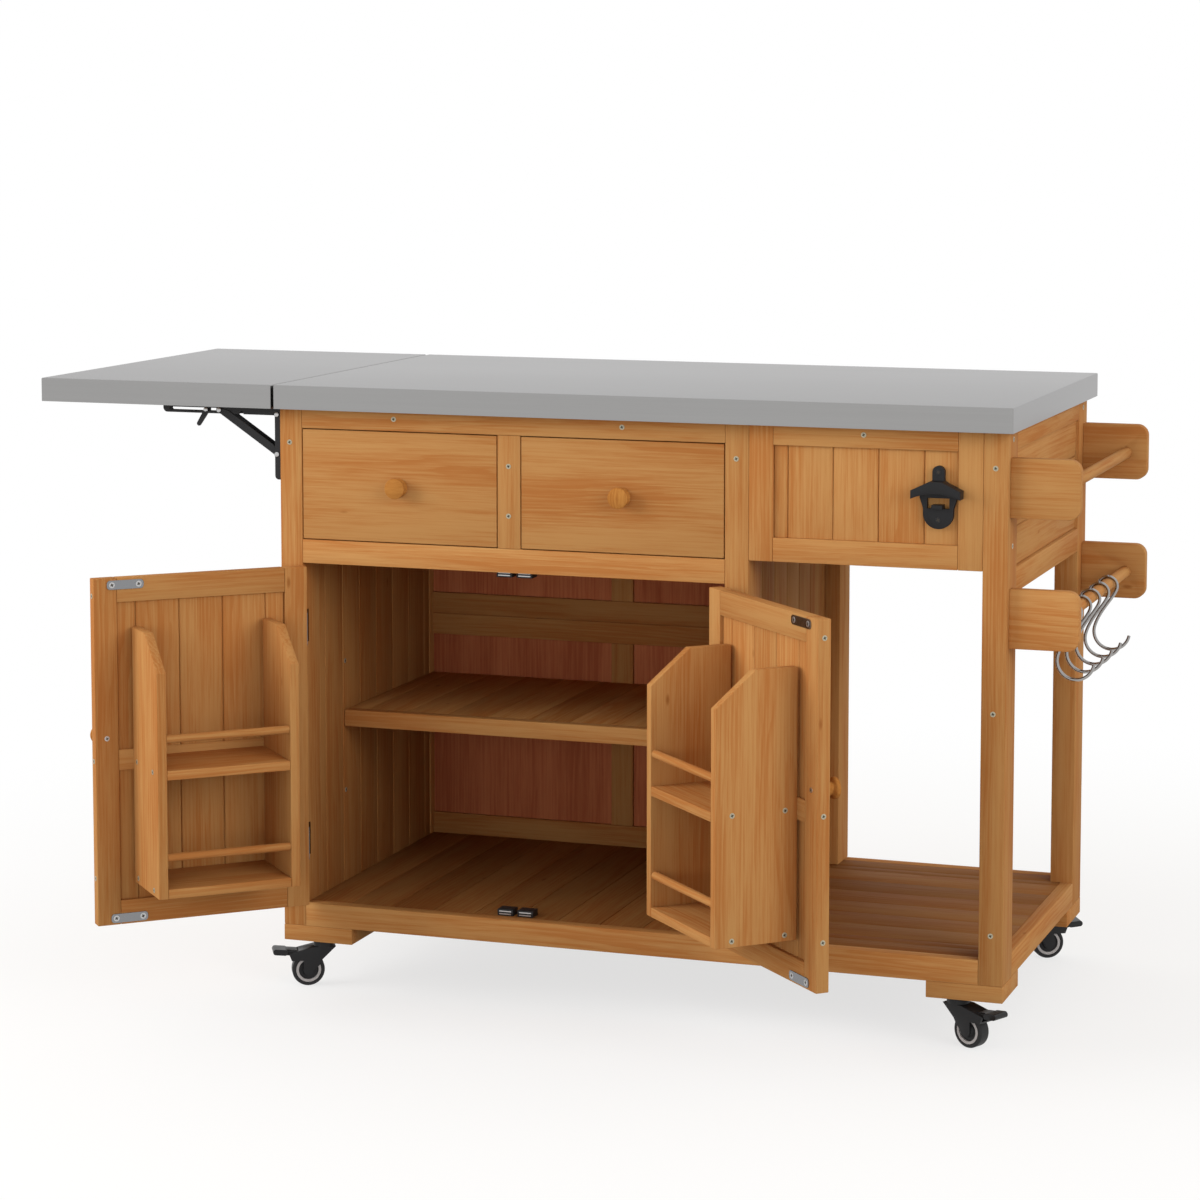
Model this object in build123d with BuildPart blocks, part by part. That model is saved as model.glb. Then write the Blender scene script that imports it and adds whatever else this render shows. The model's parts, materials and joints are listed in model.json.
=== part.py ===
from build123d import *
from math import asin, atan2, cos, degrees, hypot, radians, sin
import os

# An outdoor kitchen cart: a stained fir cabinet on casters under a stainless worktop, with a drop leaf.
# Sizes are millimetres. X runs along the worktop, -Y is the front and +Z is up.
# The origin lies on the floor, under the middle of the main worktop.

# Worktop and drop leaf
worktop_width = 1130.0
worktop_depth = 622.0
worktop_thick = 36.0
sheet_thick = 0.8
sheet_bend = 2.0
core_gap = 0.1
leaf_length = 387.0
leaf_gap = 4.0
overhang_front = 24.0
overhang_right = 11.0
overhang_rear = 28.0

# Heights, from the floor up
caster_height = 72.0
foot_thick = 24.0
rail_high = 36.0
door_opening_high = 524.0
drawer_opening_high = 169.0
top_rail_high = 30.0

# Timber sections of the frame
post_wide = 36.0
post_deep = 61.0
rail_thick = 20.0
rear_rail_thick = 20.0
foot_long = 112.0
foot_deep = 105.0
bay_width = 344.0
joint_gap = 0.2

# Tongue-and-groove boards
plank_pitch = 67.0
plank_thick = 12.0
plank_bevel = 1.5
plank_seam = 0.4
plank_least = 12.0
floor_thick = 14.0
wall_reveal = 1.0

# Cabinet back, shelf and drawer runners
back_inset = 32.0
back_board_high = 35.0
back_pair_level = 406.0
back_stile_wide = 37.0
back_board_thick = 18.0
plywood_thick = 5.0
plywood_recess = 6.0
shelf_level = 272.0
shelf_strip_high = 26.0
shelf_strip_thick = 18.0
shelf_board_thick = 14.0
shelf_set_back = 6.0
cleat_wide = 20.0
cleat_high = 15.0
runner_wide = 24.0
runner_high = 15.0
cross_rail_thick = 18.0

# Aprons round the open bay
apron_stile_wide = 36.0
apron_rail_high = 35.0
apron_recess = 5.0
apron_plank_thick = 10.0
apron_first_plank = 21.0
side_apron_planks = 3

# Drawers
drawer_gap = 1.5
drawer_front_thick = 18.0
drawer_box_high = 120.0
drawer_box_long = 430.0
drawer_side_gap = 6.0
drawer_side_thick = 12.0
drawer_bottom_thick = 5.0
drawer_bottom_lift = 8.0
slide_gap = 0.3

# Knobs
knob_radius = 15.5
knob_neck_radius = 9.5
knob_foot_radius = 14.0
knob_long = 22.0
knob_head_thick = 11.0
knob_foot_thick = 3.0
knob_neck_level = 7.5
knob_rim = 1.5
knob_edge_thick = 4.5

# Doors: they stand open, as the racks on them are shown
left_door_open_angle = 137.0
right_door_open_angle = 134.0
door_thick = 20.0
door_stile_wide = 35.0
door_rail_high = 36.0
door_mid_rail_high = 31.0
door_mid_rail_level = 232.0
door_panel_thick = 10.0
door_panel_recess = 5.0
door_clear = 2.5
hinge_gap = 2.4
hinge_leaf_thick = 1.0
hinge_high = 50.0
hinge_inset = 70.0
hinge_leaf_deep = 18.0
knuckle_radius = 3.0
knuckle_proud = 3.2
hinge_pin_radius = 1.5
hinge_web_gap = 2.1
pin_clear = 0.05
knob_level = 281.0
strike_long = 56.0
strike_high = 19.0
strike_thick = 1.5
strike_inset = 20.0
strike_edge = 3.0
strike_corner = 3.5

# Spice racks on the inner faces of the doors
rack_wide = 216.0
rack_deep = 127.0
rack_foot = 62.5
rack_high = 383.0
rack_board_thick = 14.0
rack_chamfer_deep = 61.5
rack_chamfer_high = 50.0
rack_shelf_rise = 175.0
rack_rail_rise = 46.0
rack_dowel_radius = 6.0
rack_dowel_inset = 6.5

# Magnetic catches
catch_long = 25.0
catch_deep = 22.0
catch_high = 10.0
catch_gap = 7.0
catch_set_back = 2.0

# Towel rack on the right end
arm_long = 100.0
arm_high = 85.0
arm_thick = 18.0
arm_corner = 17.0
arm_inset = 12.0
upper_arm_top = 38.0
arm_pitch = 186.0
bar_radius = 7.5
bar_reach = 68.0
bar_socket = 8.0
bar_clear = 0.1

# Chrome S-hooks on the lower bar
hook_count = 5
hook_wire_radius = 2.5
hook_loop_radius = 14.0
hook_bend_radius = 27.0
hook_drop = 70.0
hook_shift = 6.6
hook_rest_gap = 0.3
hook_first = 92.0
hook_pitch = 70.0
hook_loop_start_angle = 190.0
hook_loop_turn_angle = 200.0
hook_bend_start_angle = 165.0
hook_bend_turn_angle = 185.0

# Bottle opener on the front apron
opener_inset = 64.0
opener_top = 51.0
opener_tab_half = 9.0
opener_tab_high = 21.0
opener_plate_proud = 3.0
opener_half = 36.0
opener_shoulder_drop = 13.0
opener_side_high = 12.0
opener_lip_rise = 8.0
opener_hood_deep = 22.0
opener_wall = 4.0
opener_arm_half = 27.0
opener_window_half = 16.0
opener_window_high = 15.0
opener_shield_half = 22.0
opener_shield_straight = 7.0
opener_tooth_half = 8.0
opener_tooth_high = 6.0
opener_tooth_deep = 9.0

# Folding brackets under the leaf
bracket_inset = 13.5
pivot_out = 6.0
pivot_drop = 11.0
bracket_sheet = 1.5
leaf_rail_long = 192.0
leaf_rail_half = 7.0
leaf_rail_under = 2.0
leaf_rail_nose = 4.0
leaf_rail_corner = 7.0
strut_half = 8.9
strut_pin_along = 97.0
strut_pin_rise = 3.8
strut_pin_drop = 60.5
strut_open_side = 8.0
strut_web_side = 3.7
strut_end_radius = 5.0
strut_fork_long = 42.0
strut_flare = 14.0
slot_wide = 5.0
slot_spare = 3.0
wall_rail_half = 10.8
wall_rail_long = 107.0
wall_rail_deep = 9.5
wall_rail_above = 8.0
wall_rail_corner = 6.0
bracket_pin_radius = 2.5
pin_notch_clear = 0.8
rivet_head_radius = 4.0
rivet_head_thick = 1.5
lever_along = 121.0
lever_rise = 3.0
lever_long = 26.0
lever_angle = 57.6
lever_boss_radius = 4.5
lever_tip_radius = 3.5
lever_thick = 3.0
lever_pin_radius = 2.0

# Casters
wheel_radius = 25.0
wheel_wide = 20.0
tyre_thick = 5.0
tyre_round = 3.0
ring_inner = 15.2
ring_outer = 19.0
ring_proud = 0.6
hub_recess = 3.0
hub_boss_radius = 7.0
axle_radius = 3.0
axle_clear = 0.05
wheel_side_gap = 1.2
wheel_tread_gap = 1.5
fork_wall = 3.8
caster_trail = 25.0
collar_radius = 16.5
hood_level = 61.0
swivel_gap = 0.3
stem_radius = 5.0
stem_flange_radius = 15.0
stem_flange_thick = 2.0
stem_in_foot = 16.0
stem_in_fork = 6.0
stem_inset = 30.0
left_stem_inset = 53.0
right_stem_inset = 71.0
hood_low_level = 40.5
hood_tail_along = 51.0
throat_along = 4.0
throat_level = 41.5
arm_front_along = 8.5
arm_rear_along = 32.5
arm_end_radius = 8.0
pedal_pivot_along = 45.0
pedal_pivot_level = 52.0
pedal_boss_radius = 4.5
pedal_pin_radius = 2.0
pedal_tip_along = 75.0
pedal_tip_level = 55.0
pedal_thick = 9.0
pedal_wide = 20.0
pedal_toe_wide = 28.0
pedal_toe_long = 14.0
pedal_toe_drop = 1.35
pedal_room = 18.0
caster_headings = {"front_left": -151.0, "front_right": -26.0, "rear_left": 154.0, "rear_right": 28.0}

# Planes and levels that follow from the sizes above
worktop_left = -worktop_width / 2
worktop_right = worktop_width / 2
worktop_front = -worktop_depth / 2
worktop_rear = worktop_depth / 2
body_left = worktop_left
body_right = worktop_right - overhang_right
body_front = worktop_front + overhang_front
body_rear = worktop_rear - overhang_rear
cabinet_left = body_left + post_wide
bay_right = body_right - post_wide
bay_left = bay_right - bay_width
cabinet_right = bay_left - post_wide
front_post_rear = body_front + post_deep
rear_post_front = body_rear - post_deep
rail_back = body_front + rail_thick
rear_rail_front = body_rear - rear_rail_thick

base_level = caster_height + foot_thick
floor_level = base_level + rail_high
mid_rail_level = floor_level + door_opening_high
drawer_level = mid_rail_level + rail_high
top_rail_level = drawer_level + drawer_opening_high
worktop_under = top_rail_level + top_rail_high
worktop_level = worktop_under + worktop_thick

drawer_opening_wide = (cabinet_right - cabinet_left - post_wide) / 2
divider_left = cabinet_left + drawer_opening_wide
divider_right = divider_left + post_wide
cabinet_middle = (cabinet_left + cabinet_right) / 2
door_wide = (cabinet_right - cabinet_left) / 2 - hinge_gap - door_clear / 2
door_low = floor_level + door_clear
door_high = door_opening_high - 2 * door_clear
back_front = body_rear - back_inset - back_board_thick
wall_inner = cabinet_left - wall_reveal
partition_left = cabinet_right + wall_reveal
partition_right = partition_left + plank_thick
shelf_front = body_front + door_thick + rack_deep + shelf_set_back
shelf_top = floor_level + shelf_level

os.makedirs("parts", exist_ok=True)


def save(piece, name):
    """Label a finished piece and write it under its own name."""
    piece.part.label = name
    export_step(piece.part, f"parts/{name}.step")


def board(x, y, z):
    """Add a sawn board that fills the spans x, y and z of the part being built."""
    with Locations(((x[0] + x[1]) / 2, (y[0] + y[1]) / 2, (z[0] + z[1]) / 2)):
        Box(abs(x[1] - x[0]), abs(y[1] - y[0]), abs(z[1] - z[0]))


def plank_spans(start, end, first=plank_pitch):
    """Split a run into boards: a cut first one, full ones, and what is left over."""
    edges = [start]
    edge = start + first
    while edge < end - plank_least:
        edges.append(edge)
        edge += plank_pitch
    edges.append(end)
    return [(low + plank_seam / 2, high - plank_seam / 2) for low, high in zip(edges, edges[1:])]


def centred_first(run):
    """Width of the two cut boards when full ones are centred in a run, and neither is a mere strip."""
    cut = run % plank_pitch / 2
    return cut if cut > plank_least else cut + plank_pitch / 2


def upright_plane(origin, out):
    """A plane whose local X points along out and whose local Y points up."""
    out = Vector(*out)
    return Plane(origin=origin, x_dir=out, z_dir=out.cross(Vector(0, 0, 1)))


# Stainless skins: trays folded down over the timber cores

def sheet_tray(name, x):
    """A folded steel skin over the span x, open underneath."""
    with BuildPart() as skin:
        board(x, (worktop_front, worktop_rear), (worktop_under, worktop_level))
        fillet(skin.edges().filter_by(Axis.Z) + skin.faces().sort_by(Axis.Z)[-1].edges(), sheet_bend)
        inner = (worktop_front + sheet_thick, worktop_rear - sheet_thick)
        with BuildSketch(Plane.XY.offset(worktop_under)):
            with Locations((sum(x) / 2, sum(inner) / 2)):
                Rectangle(x[1] - x[0] - 2 * sheet_thick, inner[1] - inner[0])
        extrude(amount=worktop_thick - sheet_thick, mode=Mode.SUBTRACT)
    save(skin, name)


def tray_core(name, x):
    """The board that fills a skin."""
    side = sheet_thick + core_gap
    with BuildPart() as core:
        board(
            (x[0] + side, x[1] - side),
            (worktop_front + side, worktop_rear - side),
            (worktop_under, worktop_level - side),
        )
    save(core, name)


worktop_span = (worktop_left, worktop_right)
leaf_span = (worktop_left - leaf_gap - leaf_length, worktop_left - leaf_gap)
sheet_tray("worktop_skin", worktop_span)
tray_core("worktop_core", worktop_span)
sheet_tray("leaf_skin", leaf_span)
tray_core("leaf_core", leaf_span)

# Six posts: the four at the corners reach down to the feet, the middle two stand on the floor
front_post_span = (body_front, front_post_rear)
rear_post_span = (rear_post_front, body_rear)
with BuildPart() as posts:
    for post_y in (front_post_span, rear_post_span):
        board((body_left, cabinet_left), post_y, (base_level, worktop_under))
        board((bay_right, body_right), post_y, (base_level, worktop_under))
        board((cabinet_right, bay_left), post_y, (floor_level, worktop_under))
save(posts, "posts")

# Rails that tie the posts together
front_rail_y = (body_front, rail_back)
rear_rail_y = (rear_rail_front, body_rear)
base_z = (base_level, floor_level)
top_z = (top_rail_level, worktop_under)
side_run = (front_post_rear, rear_post_front)
with BuildPart() as frame_rails:
    board((cabinet_left, bay_right), front_rail_y, base_z)
    board((cabinet_left, cabinet_right), front_rail_y, (mid_rail_level, drawer_level))
    board((cabinet_left, cabinet_right), front_rail_y, top_z)
    board(
        (divider_left, divider_right),
        front_rail_y,
        (drawer_level + joint_gap, top_rail_level - joint_gap),
    )
    board((cabinet_left, bay_right), rear_rail_y, base_z)
    board((bay_left, bay_right), rear_rail_y, (worktop_under - rail_high, worktop_under))
    board((body_left, body_left + rail_thick), side_run, base_z)
    board((body_left, body_left + rail_thick), side_run, (mid_rail_level, drawer_level))
    board((body_left, body_left + rail_thick), side_run, top_z)
    board((body_right - rail_thick, body_right), side_run, base_z)
save(frame_rails, "frame_rails")

# Upright tongue-and-groove boards: the left wall, and the partition beside the bay
with BuildPart() as left_wall_planks:
    for span in plank_spans(*side_run, centred_first(side_run[1] - side_run[0])):
        board((wall_inner - plank_thick, wall_inner), span, (base_level, worktop_under))
    chamfer(left_wall_planks.edges().filter_by(Axis.Z).group_by(Axis.X)[-1], plank_bevel)
    chamfer(left_wall_planks.edges().filter_by(Axis.Z).group_by(Axis.X)[0], plank_bevel)
with BuildPart() as wall_planks:
    for span in plank_spans(*side_run, centred_first(side_run[1] - side_run[0])):
        board((partition_left, partition_right), span, (floor_level, worktop_under))
    chamfer(wall_planks.edges().filter_by(Axis.Z).group_by(Axis.X)[-1], plank_bevel)
    chamfer(wall_planks.edges().filter_by(Axis.Z).group_by(Axis.X)[0], plank_bevel)
    add(left_wall_planks.part)
save(wall_planks, "wall_planks")

# Cabinet back: two frames, one above the other, each with a middle stile and two plywood panels
back_y = (back_front, back_front + back_board_thick)
ply_y = (back_front + plywood_recess, back_front + plywood_recess + plywood_thick)
pair_middle = floor_level + back_pair_level - back_board_high
lower_field = (floor_level + back_board_high, pair_middle - back_board_high)
upper_field = (pair_middle + back_board_high, worktop_under - back_board_high)
stile_x = (cabinet_middle - back_stile_wide / 2, cabinet_middle + back_stile_wide / 2)
with BuildPart() as back_frame:
    for field in (lower_field, upper_field):
        rail_low = (field[0] - back_board_high, field[0] - joint_gap)
        rail_top = (field[1] + joint_gap, field[1] + back_board_high - joint_gap)
        board((cabinet_left, cabinet_right), back_y, rail_low)
        board((cabinet_left, cabinet_right), back_y, rail_top)
        board(stile_x, back_y, field)
save(back_frame, "back_frame")

with BuildPart() as back_panels:
    for field in (lower_field, upper_field):
        for bay in ((cabinet_left, stile_x[0]), (stile_x[1], cabinet_right)):
            board((bay[0] + joint_gap, bay[1] - joint_gap), ply_y, field)
save(back_panels, "back_panels")

# Floor: boards run front to back in the cabinet, and along the cart in the bay
floor_z = (floor_level - floor_thick, floor_level)
floor_y = (rail_back, rear_rail_front)
floor_split = (cabinet_right + bay_left) / 2
with BuildPart() as floor_planks:
    for span in plank_spans(cabinet_left, floor_split):
        board(span, floor_y, floor_z)
    for span in plank_spans(front_post_rear, rear_post_front, centred_first(side_run[1] - side_run[0])):
        board((floor_split + plank_seam, body_right - rail_thick), span, floor_z)
    for span in ((rail_back, front_post_rear), (rear_post_front, rear_rail_front)):
        clear = (span[0] + plank_seam / 2, span[1] - plank_seam / 2)
        board((floor_split + plank_seam, bay_right), clear, floor_z)
save(floor_planks, "floor_planks")

# Shelf: boards front to back behind a deeper front strip, on cleats along both walls
shelf_x = (cabinet_left, cabinet_right)
strip_rear = shelf_front + shelf_strip_thick
with BuildPart() as shelf:
    board(shelf_x, (shelf_front, strip_rear), (shelf_top - shelf_strip_high, shelf_top))
    for span in plank_spans(*shelf_x, centred_first(shelf_x[1] - shelf_x[0])):
        board(span, (strip_rear + joint_gap, back_front), (shelf_top - shelf_board_thick, shelf_top))
    cleat_top = shelf_top - shelf_board_thick - joint_gap
    for cleat_x in ((shelf_x[0], shelf_x[0] + cleat_wide), (shelf_x[1] - cleat_wide, shelf_x[1])):
        board(cleat_x, (strip_rear + joint_gap, back_front), (cleat_top - cleat_high, cleat_top))
save(shelf, "shelf")

# Runners that carry the drawers, with a rail across their rear ends and a cleat for the upper catches
runner_z = (drawer_level - runner_high, drawer_level)
runner_rear = back_front - cross_rail_thick
middle_runner = (divider_left - runner_wide / 2, divider_right + runner_wide / 2)
catch_run = 2 * catch_long + catch_gap
catch_rear = rail_back + catch_set_back + catch_deep
with BuildPart() as drawer_runners:
    run_y = (rail_back, runner_rear - joint_gap)
    board((cabinet_left, cabinet_left + runner_wide), run_y, runner_z)
    board(middle_runner, run_y, runner_z)
    board((cabinet_right - runner_wide, cabinet_right), run_y, runner_z)
    board((cabinet_left, cabinet_right), (runner_rear, back_front), (mid_rail_level, drawer_level))
    board(
        (cabinet_middle - catch_run / 2, cabinet_middle + catch_run / 2),
        (rail_back, catch_rear),
        (mid_rail_level, runner_z[0] - joint_gap),
    )
save(drawer_runners, "drawer_runners")

# Framed aprons over the open bay: boards in the front one stand, in the side one they lie
stile_left = (bay_left, bay_left + apron_stile_wide)
stile_right = (bay_right - apron_stile_wide, bay_right)
apron_field = (drawer_level + apron_rail_high, top_rail_level)
side_apron_x = (body_right - rail_thick, body_right)
with BuildPart() as apron_frames:
    for stile in (stile_left, stile_right):
        board(stile, front_rail_y, (drawer_level, worktop_under))
    rail_x = (stile_left[1] + joint_gap, stile_right[0] - joint_gap)
    board(rail_x, front_rail_y, (drawer_level, apron_field[0]))
    board(rail_x, front_rail_y, (apron_field[1], worktop_under))
    board(side_apron_x, side_run, (mid_rail_level, drawer_level))
    board(side_apron_x, side_run, top_z)
save(apron_frames, "apron_frames")

front_plank_y = (body_front + apron_recess, body_front + apron_recess + apron_plank_thick)
side_plank_x = (body_right - apron_recess - apron_plank_thick, body_right - apron_recess)
side_plank_high = (top_rail_level - drawer_level) / side_apron_planks
with BuildPart() as front_boards:
    for span in plank_spans(stile_left[1], stile_right[0], apron_first_plank):
        board(span, front_plank_y, apron_field)
    chamfer(front_boards.edges().filter_by(Axis.Z).group_by(Axis.Y)[0], plank_bevel)
with BuildPart() as apron_planks:
    for row in range(side_apron_planks):
        low = drawer_level + row * side_plank_high
        board(side_plank_x, side_run, (low + plank_seam / 2, low + side_plank_high - plank_seam / 2))
    chamfer(apron_planks.edges().filter_by(Axis.Y).group_by(Axis.X)[-1], plank_bevel)
    add(front_boards.part)
save(apron_planks, "apron_planks")


# Drawers: a flush front on a box of boards

def knob(name, origin, out):
    """A turned wooden knob that stands on origin and points along out."""
    plane = Plane(origin=origin, x_dir=(0, 0, 1), z_dir=Vector(0, 0, 1).cross(Vector(*out)))
    neck = knob_long - knob_head_thick
    dome_level = neck + 2 * knob_rim + knob_edge_thick
    dome_rise = knob_long - dome_level
    dome_radius = (knob_radius**2 + dome_rise**2) / (2 * dome_rise)
    with BuildPart() as turned:
        with BuildSketch(plane):
            with BuildLine():
                Polyline((0, knob_long), (0, 0), (knob_foot_radius, 0), (knob_foot_radius, knob_foot_thick))
                Polyline(
                    (knob_foot_radius, knob_foot_thick),
                    (knob_neck_radius, knob_neck_level),
                    (knob_neck_radius, neck),
                    (knob_radius - knob_rim, neck + knob_rim),
                    (knob_radius, neck + 2 * knob_rim),
                    (knob_radius, dome_level),
                )
                dome_turn = degrees(asin(knob_radius / dome_radius))
                CenterArc((0, knob_long - dome_radius), dome_radius, 90, -dome_turn)
            make_face()
        revolve(axis=Axis(origin, out))
    save(turned, name)


def drawer(side, opening):
    """One drawer over the span opening, shut, with its knob."""
    front_rear = body_front + drawer_front_thick
    front_x = (opening[0] + drawer_gap, opening[1] - drawer_gap)
    with BuildPart() as front:
        board(front_x, (body_front, front_rear), (drawer_level + drawer_gap, top_rail_level - drawer_gap))
    save(front, f"{side}_drawer_front")

    outer = (opening[0] + drawer_side_gap, opening[1] - drawer_side_gap)
    inner = (outer[0] + drawer_side_thick, outer[1] - drawer_side_thick)
    low = drawer_level + slide_gap
    box_z = (low, low + drawer_box_high)
    box_y = (front_rear, front_rear + drawer_box_long)
    bottom_z = (low + drawer_bottom_lift, low + drawer_bottom_lift + drawer_bottom_thick)
    across = (inner[0] + joint_gap, inner[1] - joint_gap)
    with BuildPart() as box:
        board((outer[0], inner[0]), box_y, box_z)
        board((inner[1], outer[1]), box_y, box_z)
        board(across, (box_y[0], box_y[0] + drawer_side_thick), box_z)
        board(across, (box_y[1] - drawer_side_thick, box_y[1]), box_z)
        board(
            across,
            (box_y[0] + drawer_side_thick + joint_gap, box_y[1] - drawer_side_thick - joint_gap),
            bottom_z,
        )
    save(box, f"{side}_drawer_box")
    middle = ((opening[0] + opening[1]) / 2, body_front, (drawer_level + top_rail_level) / 2)
    knob(f"{side}_drawer_knob", middle, (0, -1, 0))


drawer("left", (cabinet_left, divider_left))
drawer("right", (divider_right, cabinet_right))


# Doors: each turns on two butt hinges at its outer edge, with the knuckles proud of the front

hinge_y = body_front - knuckle_proud
hinge_edge = hinge_gap / 2
leaf_inner = hinge_edge - hinge_leaf_thick
knuckle_high = hinge_high / 3
hinge_lows = (door_low + hinge_inset, door_low + door_high - hinge_inset - hinge_high)


def knuckle(plane, low, high, bore):
    """Add a hinge barrel on a plane's origin, bored for the pin where bore is given."""
    with BuildSketch(plane.offset(low)) as barrel:
        Circle(knuckle_radius)
        if bore:
            Circle(bore, mode=Mode.SUBTRACT)
    extrude(barrel.sketch, amount=high - low)


def hinge_spans(low):
    """The three barrels of one hinge, from the bottom up, with running gaps."""
    third = [low + knuckle_high * n for n in range(4)]
    return (
        (third[0], third[1] - slide_gap / 2),
        (third[1] + slide_gap / 2, third[2] - slide_gap / 2),
        (third[2] + slide_gap / 2, third[3]),
    )


def fixed_leaf(axis_x, side):
    """Hinge leaves on a post: plates, outer barrels and pins. side is the way to the door."""
    plate_x = (axis_x - side * hinge_edge, axis_x - side * leaf_inner)
    plane = Plane(origin=(axis_x, hinge_y, 0))
    for low in hinge_lows:
        ends = hinge_spans(low)
        board(plate_x, (body_front + slide_gap, body_front + hinge_leaf_deep), (low, low + hinge_high))
        for span in (ends[0], ends[2]):
            board(plate_x, (hinge_y, body_front + slide_gap), span)
            knuckle(plane, *span, 0)
        with BuildSketch(plane.offset(low)) as pin:
            Circle(hinge_pin_radius)
        extrude(pin.sketch, amount=hinge_high)


def door(side, axis_x, closed_along, inner, opened):
    """One door with its rack, knob and fittings. inner is +1 where the door's inside is local +Y."""
    turned = closed_along - inner * opened
    along = Vector(cos(radians(turned)), sin(radians(turned)), 0)
    inward = Vector(-along.Y, along.X, 0) * inner
    axis = Vector(axis_x, hinge_y, 0)
    plane = Plane(origin=axis, x_dir=along, z_dir=(0, 0, 1))
    depth_axis = Axis(axis, inward)
    outer_face = inner * knuckle_proud
    inner_face = inner * (knuckle_proud + door_thick)
    near = hinge_edge
    far = hinge_edge + door_wide
    top = door_low + door_high
    field_x = (near + door_stile_wide, far - door_stile_wide)
    field_z = (door_low + door_rail_high, top - door_rail_high)
    thick = (outer_face, inner_face)
    mid_low = door_low + door_mid_rail_level

    with BuildPart(plane) as frame:
        board((near, field_x[0]), thick, (door_low, top))
        board((field_x[1], far), thick, (door_low, top))
        across = (field_x[0] + joint_gap, field_x[1] - joint_gap)
        board(across, thick, (door_low, field_z[0]))
        board(across, thick, (field_z[1], top))
        mid_y = (outer_face, outer_face + inner * (door_panel_recess - joint_gap))
        inside_y = (inner_face, inner_face - inner * (door_panel_recess - joint_gap))
        for strip in (mid_y, inside_y):
            board(across, strip, (mid_low, mid_low + door_mid_rail_high))
    save(frame, f"{side}_door_frame")

    panel_outer = outer_face + inner * door_panel_recess
    panel_y = (panel_outer, panel_outer + inner * door_panel_thick)
    with BuildPart(plane) as planks:
        for span in plank_spans(*field_x, centred_first(field_x[1] - field_x[0])):
            board(span, panel_y, (field_z[0] + joint_gap, field_z[1] - joint_gap))
        chamfer(planks.edges().filter_by(Axis.Z).group_by(depth_axis)[-1], plank_bevel)
        chamfer(planks.edges().filter_by(Axis.Z).group_by(depth_axis)[0], plank_bevel)
    save(planks, f"{side}_door_planks")

    rack_near = (near + far - rack_wide) / 2
    rack_low = door_low + rack_foot
    rack_top = rack_low + rack_high
    face = knuckle_proud + door_thick
    front = face + rack_deep
    between = (rack_near + rack_board_thick + joint_gap, rack_near + rack_wide - rack_board_thick - joint_gap)
    with BuildPart(plane) as rack:
        for middle in (rack_near + rack_board_thick / 2, rack_near + rack_wide - rack_board_thick / 2):
            with BuildSketch(upright_plane(axis + along * middle, inward)):
                with BuildLine():
                    Polyline(
                        (face, rack_low),
                        (front, rack_low),
                        (front, rack_top - rack_chamfer_high),
                        (front - rack_chamfer_deep, rack_top),
                        (face, rack_top),
                        close=True,
                    )
                make_face()
            extrude(amount=rack_board_thick / 2, both=True)
        for shelf_low in (rack_low, rack_low + rack_shelf_rise):
            shelf_z = (shelf_low, shelf_low + rack_board_thick)
            board(between, (inner * face, inner * front), shelf_z)
            rail_level = shelf_z[1] + rack_rail_rise
            rail_middle = axis + along * (sum(between) / 2) + inward * (front - rack_dowel_inset)
            rail_plane = Plane(origin=rail_middle + Vector(0, 0, rail_level), z_dir=along)
            with BuildSketch(rail_plane):
                Circle(rack_dowel_radius)
            extrude(amount=(between[1] - between[0]) / 2, both=True)
    save(rack, f"{side}_door_rack")

    knob_foot = axis + along * (far - door_stile_wide / 2) + inward * knuckle_proud
    knob(f"{side}_door_knob", knob_foot + Vector(0, 0, door_low + knob_level), inward * -1)

    strike_foot = axis + along * (far - strike_inset - strike_long / 2) + inward * face
    plate_x = (leaf_inner, hinge_edge)
    with BuildPart(plane) as fittings:
        for middle in (door_low + strike_edge + strike_high / 2, top - strike_edge - strike_high / 2):
            with BuildSketch(upright_plane(strike_foot + Vector(0, 0, middle), along)):
                RectangleRounded(strike_long, strike_high, strike_corner)
            extrude(amount=-inner * strike_thick)
        for low in hinge_lows:
            middle_span = hinge_spans(low)[1]
            clear_y = inner * (knuckle_proud + slide_gap)
            board(plate_x, (clear_y, inner * (knuckle_proud + hinge_leaf_deep)), (low, low + hinge_high))
            board(plate_x, (inner * hinge_web_gap, clear_y), middle_span)
            knuckle(Plane(origin=axis), *middle_span, hinge_pin_radius + pin_clear)
    save(fittings, f"{side}_door_fittings")


left_axis = cabinet_left + hinge_edge
right_axis = cabinet_right - hinge_edge
with BuildPart() as hinge_leaves:
    fixed_leaf(left_axis, 1)
    fixed_leaf(right_axis, -1)
save(hinge_leaves, "hinge_leaves")
door("left", left_axis, 0, 1, left_door_open_angle)
door("right", right_axis, 180, -1, right_door_open_angle)

# Magnetic catches where the two doors meet: a pair under the upper cleat, a pair on the floor
with BuildPart() as magnetic_catches:
    catch_y = (rail_back + catch_set_back, catch_rear)
    for start in (cabinet_middle - catch_run / 2, cabinet_middle + catch_gap / 2):
        for low in (floor_level, mid_rail_level - catch_high):
            board((start, start + catch_long), catch_y, (low, low + catch_high))
save(magnetic_catches, "magnetic_catches")

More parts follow.
